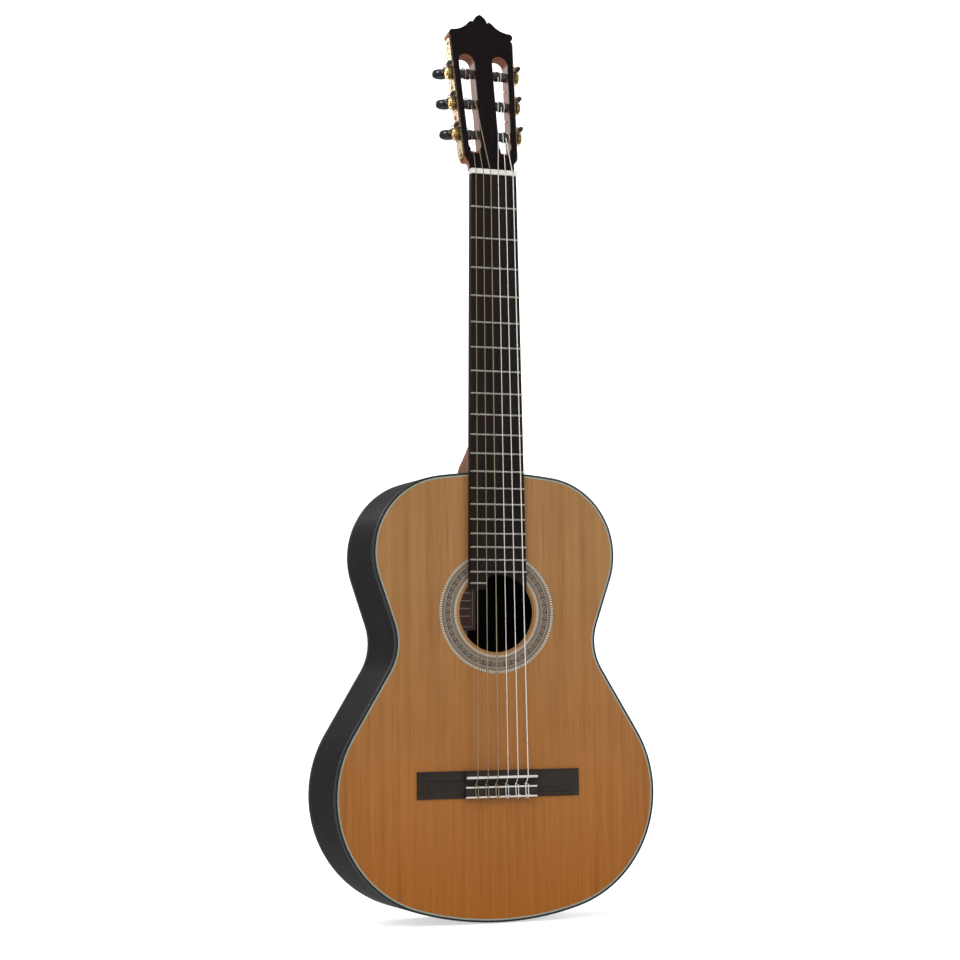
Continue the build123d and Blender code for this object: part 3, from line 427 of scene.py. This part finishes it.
@dataclass(frozen=True)
class GlossFinish:
    """Hard gloss material such as plastic, bone or lacquer, with a faint uneven skin."""

    name: str
    colour: Colour
    streak: Colour
    roughness: float = 0.22
    coat: float = 0.0
    specular: float = 0.5
    transmission: float = 0.0
    streak_scale: float = 260.0
    squeeze: Colour = (1.0, 1.0, 1.0)
    relief: float = 0.000008

    def make(self) -> bpy.types.Material:
        """Slow noise mixes the two colours, fine noise gives scuffs and skin."""
        graph = NodeGraph(
            self.name,
            {
                "Coat Weight": self.coat,
                "Coat Roughness": 0.12,
                "Specular IOR Level": self.specular,
                "Transmission Weight": self.transmission,
            },
        )
        cloud = graph.noise(graph.place(scale=self.squeeze), self.streak_scale, 4.0, 0.6)
        fine = graph.noise(graph.place(), 2600.0, 2.0, 0.5)
        colour = graph.mix(graph.span(cloud, 0.4, 0.7, 0.0, 1.0), self.colour, self.streak)
        rough = graph.span(cloud, 0.35, 0.7, self.roughness - 0.03, self.roughness + 0.09)
        return graph.finish(colour, rough, fine, self.relief)


@dataclass(frozen=True)
class WoundFinish:
    """Silver-plated round winding; the turns follow the string."""

    name: str
    colour: Colour = (0.90, 0.88, 0.84)
    # darker tone: a random mottle, and painted shade in the grooves between the turns
    mottle_and_groove_shade: Colour = (0.62, 0.59, 0.54)
    pitch: float = 0.00032
    follows_map: bool = False

    def make(self) -> bpy.types.Material:
        """A sine along the string makes the turns' crowns and the grooves, darkened as painted
        shade.
        """
        graph = NodeGraph(self.name, {"Metallic": 0.45})
        if self.follows_map:
            along = graph.split(graph.add("ShaderNodeTexCoord", {}).outputs["UV"])[0]
        else:
            along = graph.split(graph.place())[2]
        wave = graph.math("SINE", graph.math("MULTIPLY", along, 2 * math.pi / self.pitch))
        crown = graph.span(wave, -1.0, 1.0, 0.0, 1.0)
        cloud = graph.noise(graph.place(), 90.0, 3.0)
        bright = graph.mix(graph.span(cloud, 0.35, 0.7, 0.0, 0.3), self.colour, self.mottle_and_groove_shade)
        # painted shade: the grooves between the turns are painted darker
        colour = graph.mix(graph.span(crown, 0.0, 0.45, 1.0, 0.0), bright, self.mottle_and_groove_shade)
        rough = graph.span(cloud, 0.3, 0.7, 0.24, 0.38)
        return graph.finish(colour, rough, crown, 0.000012)


@dataclass(frozen=True)
class LabelFinish:
    """Dark red printed paper with a pale border and plain ruled lines."""

    name: str
    centre: tuple[float, float]
    half_size: tuple[float, float] = (0.031, 0.038)
    side_margin: float = 0.006
    end_margin: float = 0.009
    border_inset: float = 0.0035
    rule_pitch: float = 0.0086
    paper: Colour = (0.110, 0.024, 0.022)
    ink: Colour = (0.62, 0.58, 0.52)

    def make(self) -> bpy.types.Material:
        """Distances from the label's centre pick the border and the rules."""
        graph = NodeGraph(self.name, {"Specular IOR Level": 0.3})
        shift = (-self.centre[0], 0.0, -self.centre[1])
        x, _, z = graph.split(graph.place(shift=shift))
        wide = graph.math("ABSOLUTE", x)
        tall = graph.math("ABSOLUTE", z)
        rows = graph.math("DIVIDE", graph.math("ADD", z, 0.1), self.rule_pitch)
        rows = graph.math("FRACT", rows)
        inside = graph.math("LESS_THAN", wide, self.half_size[0] - self.side_margin)
        upright = graph.math("LESS_THAN", tall, self.half_size[1] - self.end_margin)
        inside = graph.math("MULTIPLY", inside, upright)
        rule = graph.math("MULTIPLY", graph.math("LESS_THAN", rows, 0.10), inside)
        near = graph.math(
            "MAXIMUM",
            graph.math("SUBTRACT", wide, self.half_size[0] - self.border_inset),
            graph.math("SUBTRACT", tall, self.half_size[1] - self.border_inset),
        )
        border = graph.between(near, -0.0006, 0.0)
        fibres = graph.noise(graph.place(), 900.0, 4.0, 0.7)
        paper = graph.mix(graph.span(fibres, 0.3, 0.7, 0.0, 0.25), self.paper, self.ink)
        marks = graph.math("MULTIPLY", graph.math("MAXIMUM", rule, border), 0.85)
        colour = graph.mix(marks, paper, self.ink)
        rough = graph.span(fibres, 0.3, 0.7, 0.6, 0.75)
        return graph.finish(colour, rough, fibres, 0.00002)


@dataclass(frozen=True)
class StageFinish:
    """Pale, even floor and wall."""

    name: str
    colour: Colour = (0.80, 0.80, 0.80)
    glow: float = 0.60

    def make(self) -> bpy.types.Material:
        """Slow noise takes the flatness off the paint."""
        constants = {"Emission Color": (1.0, 1.0, 1.0), "Emission Strength": self.glow}
        graph = NodeGraph(self.name, constants)
        cloud = graph.noise(graph.place(), 3.0, 4.0)
        darker = tuple(0.97 * part for part in self.colour)
        colour = graph.mix(cloud, self.colour, darker)
        rough = graph.span(cloud, 0.3, 0.7, 0.7, 0.8)
        return graph.finish(colour, rough, cloud, 0.0001)


# ------------------------------------------------------------------ surfaces
class Surfaces:
    """Shapes worked out as whole arrays of points."""

    @staticmethod
    def build(name: str, rows: np.ndarray, ends: Ends, lengths: np.ndarray) -> bpy.types.Object:
        """Skin a stack of closed rings.

        Ring i, point j is joined to its neighbours i+1 and j+1, j counted round; each end
        ring closes on its own middle point.

        Args:
            name: The object's name.
            rows: Points, ring by ring, of shape (rings, sides, 3).
            ends: Which end rings close on a middle point.
            lengths: Distance along the piece at each ring, for its map.

        Returns:
            The object, with a map whose first part is the distance along it.
        """
        rings, sides, _ = rows.shape
        ring = np.arange(rings - 1)[:, None]
        side = np.arange(sides)[None, :]
        after = (side + 1) % sides
        quads = np.stack(
            [
                ring * sides + side,
                ring * sides + after,
                (ring + 1) * sides + after,
                (ring + 1) * sides + side,
            ],
            axis=-1,
        ).reshape(-1, 4)
        points = np.concatenate([rows.reshape(-1, 3), rows[[0, -1]].mean(axis=1)])
        along = np.concatenate([np.repeat(lengths, sides), lengths[[0, -1]]])
        faces = quads.tolist()
        turned = np.roll(side[0], -1)
        if ends.value[0]:
            middle = np.full(sides, rings * sides)
            faces += np.stack([middle, turned, side[0]], axis=-1).tolist()
        if ends.value[1]:
            middle = np.full(sides, rings * sides + 1)
            last = (rings - 1) * sides
            faces += np.stack([middle, last + side[0], last + turned], axis=-1).tolist()
        mesh = bpy.data.meshes.new(name)
        mesh.from_pydata(points.tolist(), [], faces)
        mesh.polygons.foreach_set("use_smooth", np.ones(len(faces), bool))
        layer = mesh.uv_layers.new(name="along")
        corner = np.empty(len(mesh.loops), np.int32)
        mesh.loops.foreach_get("vertex_index", corner)
        pairs = np.stack([along[corner], (corner % sides) / sides], axis=-1)
        layer.data.foreach_set("uv", pairs.astype(np.float32).ravel())
        mesh.update()
        made = bpy.data.objects.new(name, mesh)
        bpy.context.scene.collection.objects.link(made)
        return made

    @staticmethod
    def spline(points: np.ndarray, count: int) -> np.ndarray:
        """Smooth curve through points, by the Catmull-Rom cubic of each four neighbours.

        Args:
            points: The points to pass through, shape (n, 3).
            count: How many points to give back.

        Returns:
            Points evenly spaced in the parameter, shape (count, 3).
        """
        before = 2 * points[:1] - points[1:2]
        after = 2 * points[-1:] - points[-2:-1]
        ends = np.concatenate([before, points, after])
        place = np.linspace(0, len(points) - 1 - 1e-9, count)
        span = place.astype(int)
        t = (place - span)[:, None]
        a, b, c, d = (ends[span + step] for step in range(4))
        return 0.5 * (
            2 * b
            + (c - a) * t
            + (2 * a - 5 * b + 4 * c - d) * t**2
            + (3 * b - a - 3 * c + d) * t**3
        )

    @staticmethod
    def tube(
        name: str, path: np.ndarray, radius: float, sides: int, across: np.ndarray
    ) -> bpy.types.Object:
        """Round wire along a path, its ends rounded off.

        The ring at each path point is the circle of that radius square to the path's
        gradient; near both ends the radius follows a quarter circle down to a small end.

        Args:
            name: The object's name.
            path: Path points, shape (n, 3).
            radius: Wire radius.
            sides: Points round the wire.
            across: A direction that the path never runs along.

        Returns:
            The wire.
        """
        ahead = np.gradient(path, axis=0)
        ahead /= np.linalg.norm(ahead, axis=1, keepdims=True)
        side = np.cross(ahead, across)
        side /= np.linalg.norm(side, axis=1, keepdims=True)
        up = np.cross(ahead, side)
        steps = np.linalg.norm(np.diff(path, axis=0), axis=1)
        lengths = np.concatenate([[0.0], np.cumsum(steps)])
        to_end = np.minimum(lengths, lengths[-1] - lengths) / radius
        shrink = np.sqrt(1 - (1 - np.clip(to_end, 0.06, 1.0)) ** 2)
        angle = 2 * np.pi * np.arange(sides) / sides
        ring = side[:, None] * np.cos(angle)[None, :, None]
        ring = ring + up[:, None] * np.sin(angle)[None, :, None]
        rows = path[:, None] + ring * (radius * shrink)[:, None, None]
        return Surfaces.build(name, rows, Ends.BOTH, lengths)

    @staticmethod
    def lathe(
        name: str, profile: np.ndarray, origin: np.ndarray, axis: np.ndarray, sides: int
    ) -> bpy.types.Object:
        """Turned piece: the profile's radius swept round an axis at each height.

        Args:
            name: The object's name.
            profile: Heights and radii, shape (n, 2).
            origin: Point on the axis at height zero.
            axis: Direction of the axis, of length one.
            sides: Points round the axis.

        Returns:
            The turned piece.
        """
        side = np.cross(axis, [0.0, 0.31, 0.95])
        side /= np.linalg.norm(side)
        up = np.cross(axis, side)
        angle = 2 * np.pi * np.arange(sides) / sides
        ring = side[None] * np.cos(angle)[:, None] + up[None] * np.sin(angle)[:, None]
        rows = origin + profile[:, 0, None, None] * axis + profile[:, 1, None, None] * ring[None]
        return Surfaces.build(name, rows, Ends.BOTH, profile[:, 0])


def dress(piece: bpy.types.Object, material: bpy.types.Material) -> None:
    """Give a piece its one material."""
    piece.data.materials.clear()
    piece.data.materials.append(material)


def add_piece(piece: bpy.types.Object, body: str, material: bpy.types.Material) -> None:
    """Dress a new piece, put it on its body and report it.

    Args:
        piece: The piece.
        body: The body it rides on.
        material: Its material.
    """
    dress(piece, material)
    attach(piece, body)
    LOG.info("%s on %s: %d faces", piece.name, body, len(piece.data.polygons))


def dress_nodes(material: bpy.types.Material, *names: str) -> None:
    """Give fixed frame nodes their finish.

    Args:
        material: The finish.
        names: The nodes.
    """
    for name in names:
        dress(frame["nodes"][name], material)
        LOG.info("%s: %s", name, material.name)


# ------------------------------------------------------------------ sub-assemblies
@dataclass
class SoundBox:
    """Soundboard, ribs, back, edge strips, rosette, label and the bracing inside."""

    soundhole_height: float = -0.476
    label_centre: tuple[float, float] = (-0.019, -0.455)
    cedar: WoodFinish = WoodFinish(
        "cedar",
        light=(0.270, 0.132, 0.042),
        dark=(0.162, 0.070, 0.016),
        line_pitch=0.0011,
        contrast=1.0,
        roughness=0.42,
        coat=0.06,
        coat_roughness=0.32,
        specular=0.2,
        bookmatched=True,
        # painted shade: the lower soundboard is painted darker and more orange where the top
        # light's haze fades
        low_painted_shade=(1.02, 0.66, 0.10),
    )
    black_wood: WoodFinish = WoodFinish(
        "black_body_wood",
        light=(0.009, 0.009, 0.010),
        dark=(0.003, 0.003, 0.003),
        line_pitch=0.0022,
        contrast=1.0,
        pores=0.6,
        roughness=0.26,
        specular=0.06,
        edge_line=(0.09, 0.10, 0.10),
    )
    spruce: WoodFinish = WoodFinish(
        "brace_spruce",
        light=(0.60, 0.40, 0.22),
        dark=(0.42, 0.25, 0.12),
        line_pitch=0.0014,
        contrast=0.9,
        roughness=0.62,
    )
    spruce_bars: WoodFinish = WoodFinish(
        "brace_spruce_across",
        light=(0.60, 0.40, 0.22),
        dark=(0.42, 0.25, 0.12),
        grain=Grain.ACROSS,
        line_pitch=0.0014,
        contrast=0.9,
        roughness=0.62,
    )
    pale_line: WoodFinish = WoodFinish(
        "pale_inlay",
        light=(0.22, 0.24, 0.19),
        dark=(0.13, 0.15, 0.12),
        line_pitch=0.0009,
        contrast=0.8,
        roughness=0.42,
    )
    binding: GlossFinish = GlossFinish(
        "black_binding", colour=(0.010, 0.010, 0.011), streak=(0.016, 0.016, 0.017), specular=0.4
    )

    def finish(self) -> None:
        """Dress every node of the sound box."""
        wood = self.black_wood.make()
        spruce = self.spruce.make()
        bars = self.spruce_bars.make()
        dress_nodes(self.cedar.make(), "soundboard")
        dress_nodes(MosaicFinish("rosette_mosaic", self.soundhole_height).make(), "rosette")
        dress_nodes(wood, "rib_treble", "rib_bass", "back_plates", "tail_strip")
        dress_nodes(self.pale_line.make(), "front_purfling", "back_centre_strip")
        dress_nodes(self.binding.make(), "bindings")
        dress_nodes(spruce, "soundhole_ring", "fan_braces", "linings", "tail_block")
        dress_nodes(bars, "harmonic_bars", "back_braces")
        dress_nodes(LabelFinish("label_paper", self.label_centre).make(), "label")


@dataclass
class Neck:
    """Neck, heel, head, fingerboard, frets and nut."""

    mahogany: WoodFinish = WoodFinish(
        "mahogany",
        light=(0.30, 0.110, 0.048),
        dark=(0.17, 0.052, 0.022),
        line_pitch=0.0016,
        contrast=0.8,
        pores=0.55,
        roughness=0.38,
        coat=0.06,
        specular=0.3,
    )
    veneer: WoodFinish = WoodFinish(
        "dark_veneer",
        light=(0.009, 0.005, 0.006),
        dark=(0.003, 0.002, 0.002),
        line_pitch=0.0014,
        contrast=1.0,
        pores=0.5,
        roughness=0.34,
        specular=0.10,
    )
    board: WoodFinish = WoodFinish(
        "dark_board",
        light=(0.014, 0.009, 0.007),
        dark=(0.004, 0.003, 0.002),
        line_pitch=0.0011,
        contrast=1.0,
        pores=0.8,
        roughness=0.46,
        specular=0.10,
    )
    fret_alloy: MetalFinish = MetalFinish(
        "fret_alloy",
        colour=(0.74, 0.71, 0.65),
        tarnish=(0.45, 0.41, 0.34),
        roughness=0.26,
        brushing=(0.05, 1.0, 1.0),
        tarnish_share=0.10,
    )
    bone: GlossFinish = GlossFinish(
        "bone",
        colour=(0.50, 0.48, 0.45),
        streak=(0.40, 0.38, 0.33),
        roughness=0.34,
        streak_scale=500.0,
        squeeze=(0.1, 1.0, 1.0),
    )

    def finish(self) -> None:
        """Dress every node of the neck."""
        dress_nodes(self.mahogany.make(), "neck_shaft", "heel_block", "head_core")
        dress_nodes(self.veneer.make(), "head_veneer", "heel_cap")
        dress_nodes(self.board.make(), "fingerboard")
        dress_nodes(self.fret_alloy.make(), "frets")
        dress_nodes(self.bone.make(), "nut", "saddle", "tie_block_strips")


@dataclass
class Strings:
    """Six strings, their ties on the bridge and their loose ends on the rollers."""

    gauges: tuple[float, ...] = (0.00071, 0.00082, 0.00102, 0.00076, 0.00089, 0.00109)
    saddle_spread: float = 0.057
    tie_front: float = -0.6610
    tie_back: float = -0.6730
    tie_top: float = -0.0098
    roller_radius: float = 0.005
    face_forward: tuple[float, float, float] = (0.0, -0.983, 0.182)
    wrap_starts: tuple[float, float, float] = (0.0200, 0.0175, 0.0170)
    end_swell: float = 0.0026
    end_gap: float = 0.00005
    nylon: GlossFinish = GlossFinish(
        "nylon",
        colour=(0.26, 0.20, 0.13),
        streak=(0.23, 0.18, 0.12),
        roughness=0.32,
        transmission=0.25,
    )
    materials: dict[Wire, bpy.types.Material] = field(default_factory=dict)

    def wire(self, index: int) -> Wire:
        """Plain for the three treble strings, wound for the bass."""
        return Wire.PLAIN if index < 3 else Wire.WOUND

    def finish(self) -> None:
        """Dress the strings, then add the ties and the loose ends."""
        plain = self.nylon.make()
        wound = WoundFinish("wound_string").make()
        self.materials = {
            Wire.PLAIN: plain,
            Wire.WOUND: WoundFinish("wound_string_curled", follows_map=True).make(),
        }
        for index in range(len(self.gauges)):
            dress_nodes(plain if index < 3 else wound, f"string_{index + 1}")
            self.add_tie(index)
            self.add_loose_end(index)

    def add_tie(self, index: int) -> None:
        """The string's end: under its own length, back over the tie block and tucked in.

        Args:
            index: The string's number from the treble side, from zero.
        """
        radius = self.gauges[index] / 2
        x = self.saddle_spread * (index / 5 - 0.5)
        top = self.tie_top - radius - 0.0002
        second = top - 2.2 * radius
        front, back = self.tie_front, self.tie_back
        middle = (front + back) / 2
        points = np.array(
            [
                (x + 0.0012, -0.0064 - 2.4 * radius, front + 0.0011),
                (x - 0.0004, -0.0076 - 2.4 * radius, front + 0.0021 + radius),
                (x - 0.0014, -0.0092, front + 0.0014 + radius),
                (x - 0.0016, top, front - 0.0010),
                (x - 0.0015, top, middle + 0.0015),
                (x - 0.0014, top, middle - 0.0015),
                (x - 0.0012, top, back + 0.0026),
                (x + 0.0002, second, back + 0.0014),
                (x + 0.0022, second, back + 0.0016),
                (x + 0.0034, top, back + 0.0026),
            ]
        )
        path = Surfaces.spline(points, 120)
        across = np.array([0.2, 0.9, 0.31])
        piece = Surfaces.tube(f"string_tie_{index + 1}", path, radius, 10, across)
        kind = self.wire(index)
        add_piece(piece, GUITAR, self.materials[kind])

    def add_loose_end(self, index: int) -> None:
        """The end past the last turn: a coil that steps outwards and springs away.

        The angle grows with the parameter, the radius stays on the roller and then swells
        with its square, and the distance along the roller grows with it.

        Args:
            index: The string's number from the treble side, from zero.
        """
        body = f"roller_{index + 1}"
        joint = next(j for j in frame["joints"] if j["child"] == body)
        centre, axis = np.array(joint["pos_m"]), np.array(joint["axis"])
        radius = self.gauges[index] / 2
        number = index if index < 3 else 5 - index
        start = self.wrap_starts[number] + 2.1 * self.gauges[index]
        to_start = (start - abs(centre[0])) / abs(axis[0])
        forward = np.array(self.face_forward)
        forward = forward - axis * (forward @ axis)
        forward /= np.linalg.norm(forward)
        upward = np.cross(axis, forward)
        t = np.linspace(0, 1, 90)
        angle = 0.6 + 7.4 * t + 0.5 * index
        swell = self.end_swell * np.clip((t - 0.55) / 0.45, 0, 1) ** 2
        reach = self.roller_radius + radius + self.end_gap + swell
        out = to_start + (2.4 * radius + 0.0002 * index) * t * 2 + 0.0012 * np.clip(t - 0.5, 0, 1)
        path = (
            centre
            + out[:, None] * axis
            + (reach * np.cos(angle))[:, None] * forward
            + (reach * np.sin(angle))[:, None] * upward
        )
        piece = Surfaces.tube(f"string_end_{index + 1}", path, radius, 10, axis)
        kind = self.wire(index)
        add_piece(piece, body, self.materials[kind])


@dataclass
class Bridge:
    """Bridge with its dark wood running across the body."""

    wood: WoodFinish = WoodFinish(
        "bridge_wood",
        light=(0.034, 0.026, 0.021),
        dark=(0.012, 0.009, 0.008),
        grain=Grain.ACROSS,
        line_pitch=0.0011,
        contrast=1.0,
        pores=0.7,
        roughness=0.38,
        specular=0.12,
    )

    def finish(self) -> None:
        """Dress the bridge."""
        dress_nodes(self.wood.make(), "bridge")


@dataclass
class TuningMachines:
    """Side plates, worms, gears, rollers and buttons, with turned trim and cut scrolls."""

    ball_centre: float = 0.009239
    ball_radius: float = 0.0025
    bead_centre: float = -0.008639
    bead_radius: float = 0.0026
    bead_half: float = 0.0016
    collar_start: float = -0.010239
    collar_end: float = -0.014239
    collar_radius: float = 0.0021
    skin: float = 0.00006
    plate_depth: float = 0.0038
    plate_middle: float = 0.043
    lobe_count: int = 16
    lobe_pitch: float = 0.0084
    lobe_line: float = 0.0061
    lobe_rim: float = 0.0032
    lobe_wire: float = 0.0002
    scroll_spots: tuple[tuple[float, float], ...] = (
        (-0.0200, 0.003),
        (0.0225, 0.0035),
        (0.0588, 0.0035),
        (0.1000, 0.003),
    )
    scroll_sweep: float = 9.2
    scroll_taper: float = 0.86
    scroll_wire: float = 0.00022
    gold: EngravedFinish = EngravedFinish(
        "gold_plate", colour=(0.80, 0.62, 0.40), cut_shade=(0.22, 0.15, 0.09)
    )
    bright_gold: MetalFinish = MetalFinish(
        "gold_relief", colour=(0.86, 0.68, 0.44), tarnish=(0.55, 0.38, 0.20)
    )
    steel: MetalFinish = MetalFinish(
        "worm_steel", colour=(0.66, 0.63, 0.58), tarnish=(0.36, 0.32, 0.27), roughness=0.26
    )
    brass: MetalFinish = MetalFinish(
        "gear_brass", colour=(0.76, 0.55, 0.24), tarnish=(0.42, 0.27, 0.11), roughness=0.24
    )
    black: GlossFinish = GlossFinish(
        "black_button",
        colour=(0.010, 0.010, 0.012),
        streak=(0.020, 0.020, 0.022),
        roughness=0.14,
        coat=0.4,
    )
    roller: GlossFinish = GlossFinish(
        "black_roller", colour=(0.014, 0.013, 0.013), streak=(0.030, 0.028, 0.026), roughness=0.35
    )

    def finish(self) -> None:
        """Dress the machines and add their trim."""
        steel, black, relief = self.steel.make(), self.black.make(), self.bright_gold.make()
        dress_nodes(self.gold.make(), "tuner_plate_treble", "tuner_plate_bass")
        dress_nodes(relief, "plate_screws")
        brass, roller = self.brass.make(), self.roller.make()
        for index in range(1, 7):
            dress_nodes(steel, f"worm_{index}")
            dress_nodes(black, f"button_{index}")
            dress_nodes(brass, f"gear_{index}")
            dress_nodes(roller, f"roller_{index}")
            self.add_trim(index, steel, black)
        for name, first, last in (("treble", 1, 3), ("bass", 6, 4)):
            self.add_scrolls(name, first, last, relief)

    def add_trim(self, index: int, steel: bpy.types.Material, black: bpy.types.Material) -> None:
        """Black ball and bead and a grooved silver collar over one worm's ends.

        Args:
            index: The string's number from the treble side.
            steel: Finish of the collar.
            black: Finish of the ball and the bead.
        """
        body = f"worm_{index}"
        joint = next(j for j in frame["joints"] if j["child"] == body)
        centre, axis = np.array(joint["pos_m"]), np.array(joint["axis"])
        axis = axis if axis[1] < 0 else -axis
        turn = np.linspace(-np.pi / 2 + 0.04, np.pi / 2 - 0.04, 25)
        radius = self.ball_radius + self.skin
        ball = np.stack([self.ball_centre + radius * np.sin(turn), radius * np.cos(turn)], axis=-1)
        piece = Surfaces.lathe(f"ball_{index}", ball, centre, axis, 32)
        add_piece(piece, body, black)
        step = np.linspace(-1, 1, 17)
        swell = self.bead_radius * np.sqrt(1 - 0.52 * step**2) + self.skin
        bead = np.stack([self.bead_centre + self.bead_half * step, swell], axis=-1)
        piece = Surfaces.lathe(f"bead_{index}", bead, centre, axis, 32)
        add_piece(piece, body, black)
        step = np.linspace(0, 1, 41)
        grooves = 0.00016 * np.cos(2 * np.pi * 4 * step)
        swell = self.collar_radius + 0.0003 * np.sin(np.pi * step) + grooves
        height = self.collar_end + (self.collar_start - self.collar_end) * step
        collar = np.stack([height, swell], axis=-1)
        piece = Surfaces.lathe(f"collar_{index}", collar, centre, axis, 32)
        add_piece(piece, body, steel)

    def add_scrolls(self, name: str, first: int, last: int, relief: bpy.types.Material) -> None:
        """Raised scrolls on one plate: pairs of spirals and an arc along each lobe.

        A spiral's radius shrinks evenly with its angle; it lies flat on the plate's face.

        Args:
            name: The side.
            first: Number of the machine nearest the nut.
            last: Number of the machine nearest the tip.
            relief: The finish.
        """
        ends = [
            next(j for j in frame["joints"] if j["child"] == f"roller_{number}")
            for number in (first, last)
        ]
        start, end = (np.array(joint["pos_m"]) for joint in ends)
        out = np.array(ends[0]["axis"])
        along = (end - start) / np.linalg.norm(end - start)
        back = np.cross(out, along)
        back = back if back[1] > 0 else -back
        face = start - (self.plate_depth - 0.00004) * out
        t = np.linspace(0, 1, 72)
        for number, (centre, size) in enumerate(self.scroll_spots):
            for hand in (-1, 1):
                angle = 0.5 * np.pi + hand * (0.4 + self.scroll_sweep * t)
                reach = size * (1 - self.scroll_taper * t)
                shift_x = centre + hand * 1.05 * size
                shift_y = 0.0012 + 0.0006 * hand
                x = shift_x + reach * np.cos(angle)
                y = shift_y + reach * np.sin(angle)
                path = face + x[:, None] * along + y[:, None] * back
                label = f"scroll_{name}_{number}_{'low' if hand < 0 else 'high'}"
                piece = Surfaces.tube(label, path, self.scroll_wire, 8, out)
                add_piece(piece, GUITAR, relief)
        for lobe in range(self.lobe_count):
            x_middle = self.plate_middle + (lobe - (self.lobe_count - 1) / 2) * self.lobe_pitch
            angle = np.linspace(0.12 * np.pi, 0.88 * np.pi, 28)
            x = x_middle + self.lobe_rim * np.cos(angle)
            y = self.lobe_line + self.lobe_rim * np.sin(angle)
            path = face + x[:, None] * along + y[:, None] * back
            piece = Surfaces.tube(f"lobe_rim_{name}_{lobe}", path, self.lobe_wire, 8, out)
            add_piece(piece, GUITAR, relief)


# ------------------------------------------------------------------ stage
@dataclass
class Studio:
    """Pale floor that curves up into a round wall, soft lights and the camera."""

    floor_height: float = -0.8062
    floor_radius: float = 3.4
    wall_radius: float = 1.2
    wall_height: float = 4.2
    target: tuple[float, float, float] = (0.0, 0.0, -0.350)
    distance: float = 2.4
    azimuth: float = -21.23
    elevation: float = -4.8
    roll: float = -0.66
    lens: float = 83.4
    shift: tuple[float, float] = (-0.016, 0.016)

    def finish(self) -> None:
        """Build the floor, the lights and the camera."""
        self.add_floor()
        self.add_lights()
        self.add_camera()

    def add_floor(self) -> None:
        """Bowl: a flat disc, a quarter circle up and a straight wall, swept round Z."""
        turn = np.linspace(0, np.pi / 2, 24)
        flat = np.stack([np.linspace(0.02, self.floor_radius, 12), np.zeros(12)], axis=-1)
        bend = np.stack(
            [
                self.floor_radius + self.wall_radius * np.sin(turn),
                self.wall_radius * (1 - np.cos(turn)),
            ],
            axis=-1,
        )
        wall_x = np.full(6, self.floor_radius + self.wall_radius)
        wall = np.stack([wall_x, np.linspace(self.wall_radius, self.wall_height, 7)[1:]], axis=-1)
        profile = np.concatenate([flat, bend[1:], wall])
        angle = 2 * np.pi * np.arange(96) / 96
        rows = np.stack(
            [
                profile[:, 0, None] * np.cos(angle),
                profile[:, 0, None] * np.sin(angle),
                profile[:, 1, None] + np.zeros(96) + self.floor_height,
            ],
            axis=-1,
        )[:, ::-1]
        bowl = Surfaces.build("studio_floor", rows, Ends.START, profile[:, 0])
        dress(bowl, StageFinish("studio_paint").make())
        bowl.visible_glossy = False

    def add_lights(self) -> None:
        """Four large soft lamps and an even sky."""
        lamps = (
            ("key", (-1.7, -2.3, 1.7), (0.0, 0.0, -0.35), 1.6, 36.0),
            ("fill", (1.9, -2.4, 0.3), (0.0, 0.0, -0.4), 1.5, 15.0),
            ("top", (0.3, -0.4, 2.3), (0.0, 0.0, -0.3), 1.4, 12.0),
            ("back", (-1.2, 2.2, 1.2), (0.0, 0.0, -0.3), 1.2, 18.0),
        )
        for name, place, target, size, power in lamps:
            data = bpy.data.lights.new(name, "AREA")
            data.energy, data.size = power, size
            lamp = bpy.data.objects.new(name, data)
            lamp.location = place
            direction = Vector(target) - Vector(place)
            lamp.rotation_euler = direction.to_track_quat("-Z", "Y").to_euler()
            bpy.context.scene.collection.objects.link(lamp)
            LOG.info("lamp %s", name)
        world = bpy.data.worlds.new("sky")
        world.use_nodes = True
        sky = world.node_tree.nodes["Background"]
        sky.inputs["Color"].default_value = (0.82, 0.82, 0.82, 1.0)
        sky.inputs["Strength"].default_value = 0.26
        bpy.context.scene.world = world
        bpy.context.scene.view_settings.view_transform = "Standard"

    def add_camera(self) -> None:
        """Camera that looks up a little at the guitar from its treble side."""
        data = bpy.data.cameras.new("camera")
        data.lens, data.sensor_width = self.lens, 36.0
        data.shift_x, data.shift_y = self.shift
        camera = bpy.data.objects.new("camera", data)
        across, up = math.radians(self.azimuth), math.radians(self.elevation)
        back = Vector(
            (math.sin(across) * math.cos(up), -math.cos(across) * math.cos(up), math.sin(up))
        )
        turn = (-back).to_track_quat("-Z", "Y").to_matrix().to_4x4()
        roll = Matrix.Rotation(math.radians(self.roll), 4, "Z")
        place = Matrix.Translation(Vector(self.target) + back * self.distance)
        camera.matrix_world = place @ turn @ roll
        bpy.context.scene.collection.objects.link(camera)
        bpy.context.scene.camera = camera


def main() -> None:
    """Build every sub-assembly in order."""
    logging.basicConfig(level=logging.INFO, format="%(name)s: %(message)s")
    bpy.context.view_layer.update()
    for assembly in (SoundBox(), Neck(), Bridge(), Strings(), TuningMachines(), Studio()):
        LOG.info("building %s", type(assembly).__name__)
        assembly.finish()
    bpy.context.view_layer.update()


if __name__ == "__main__":
    main()
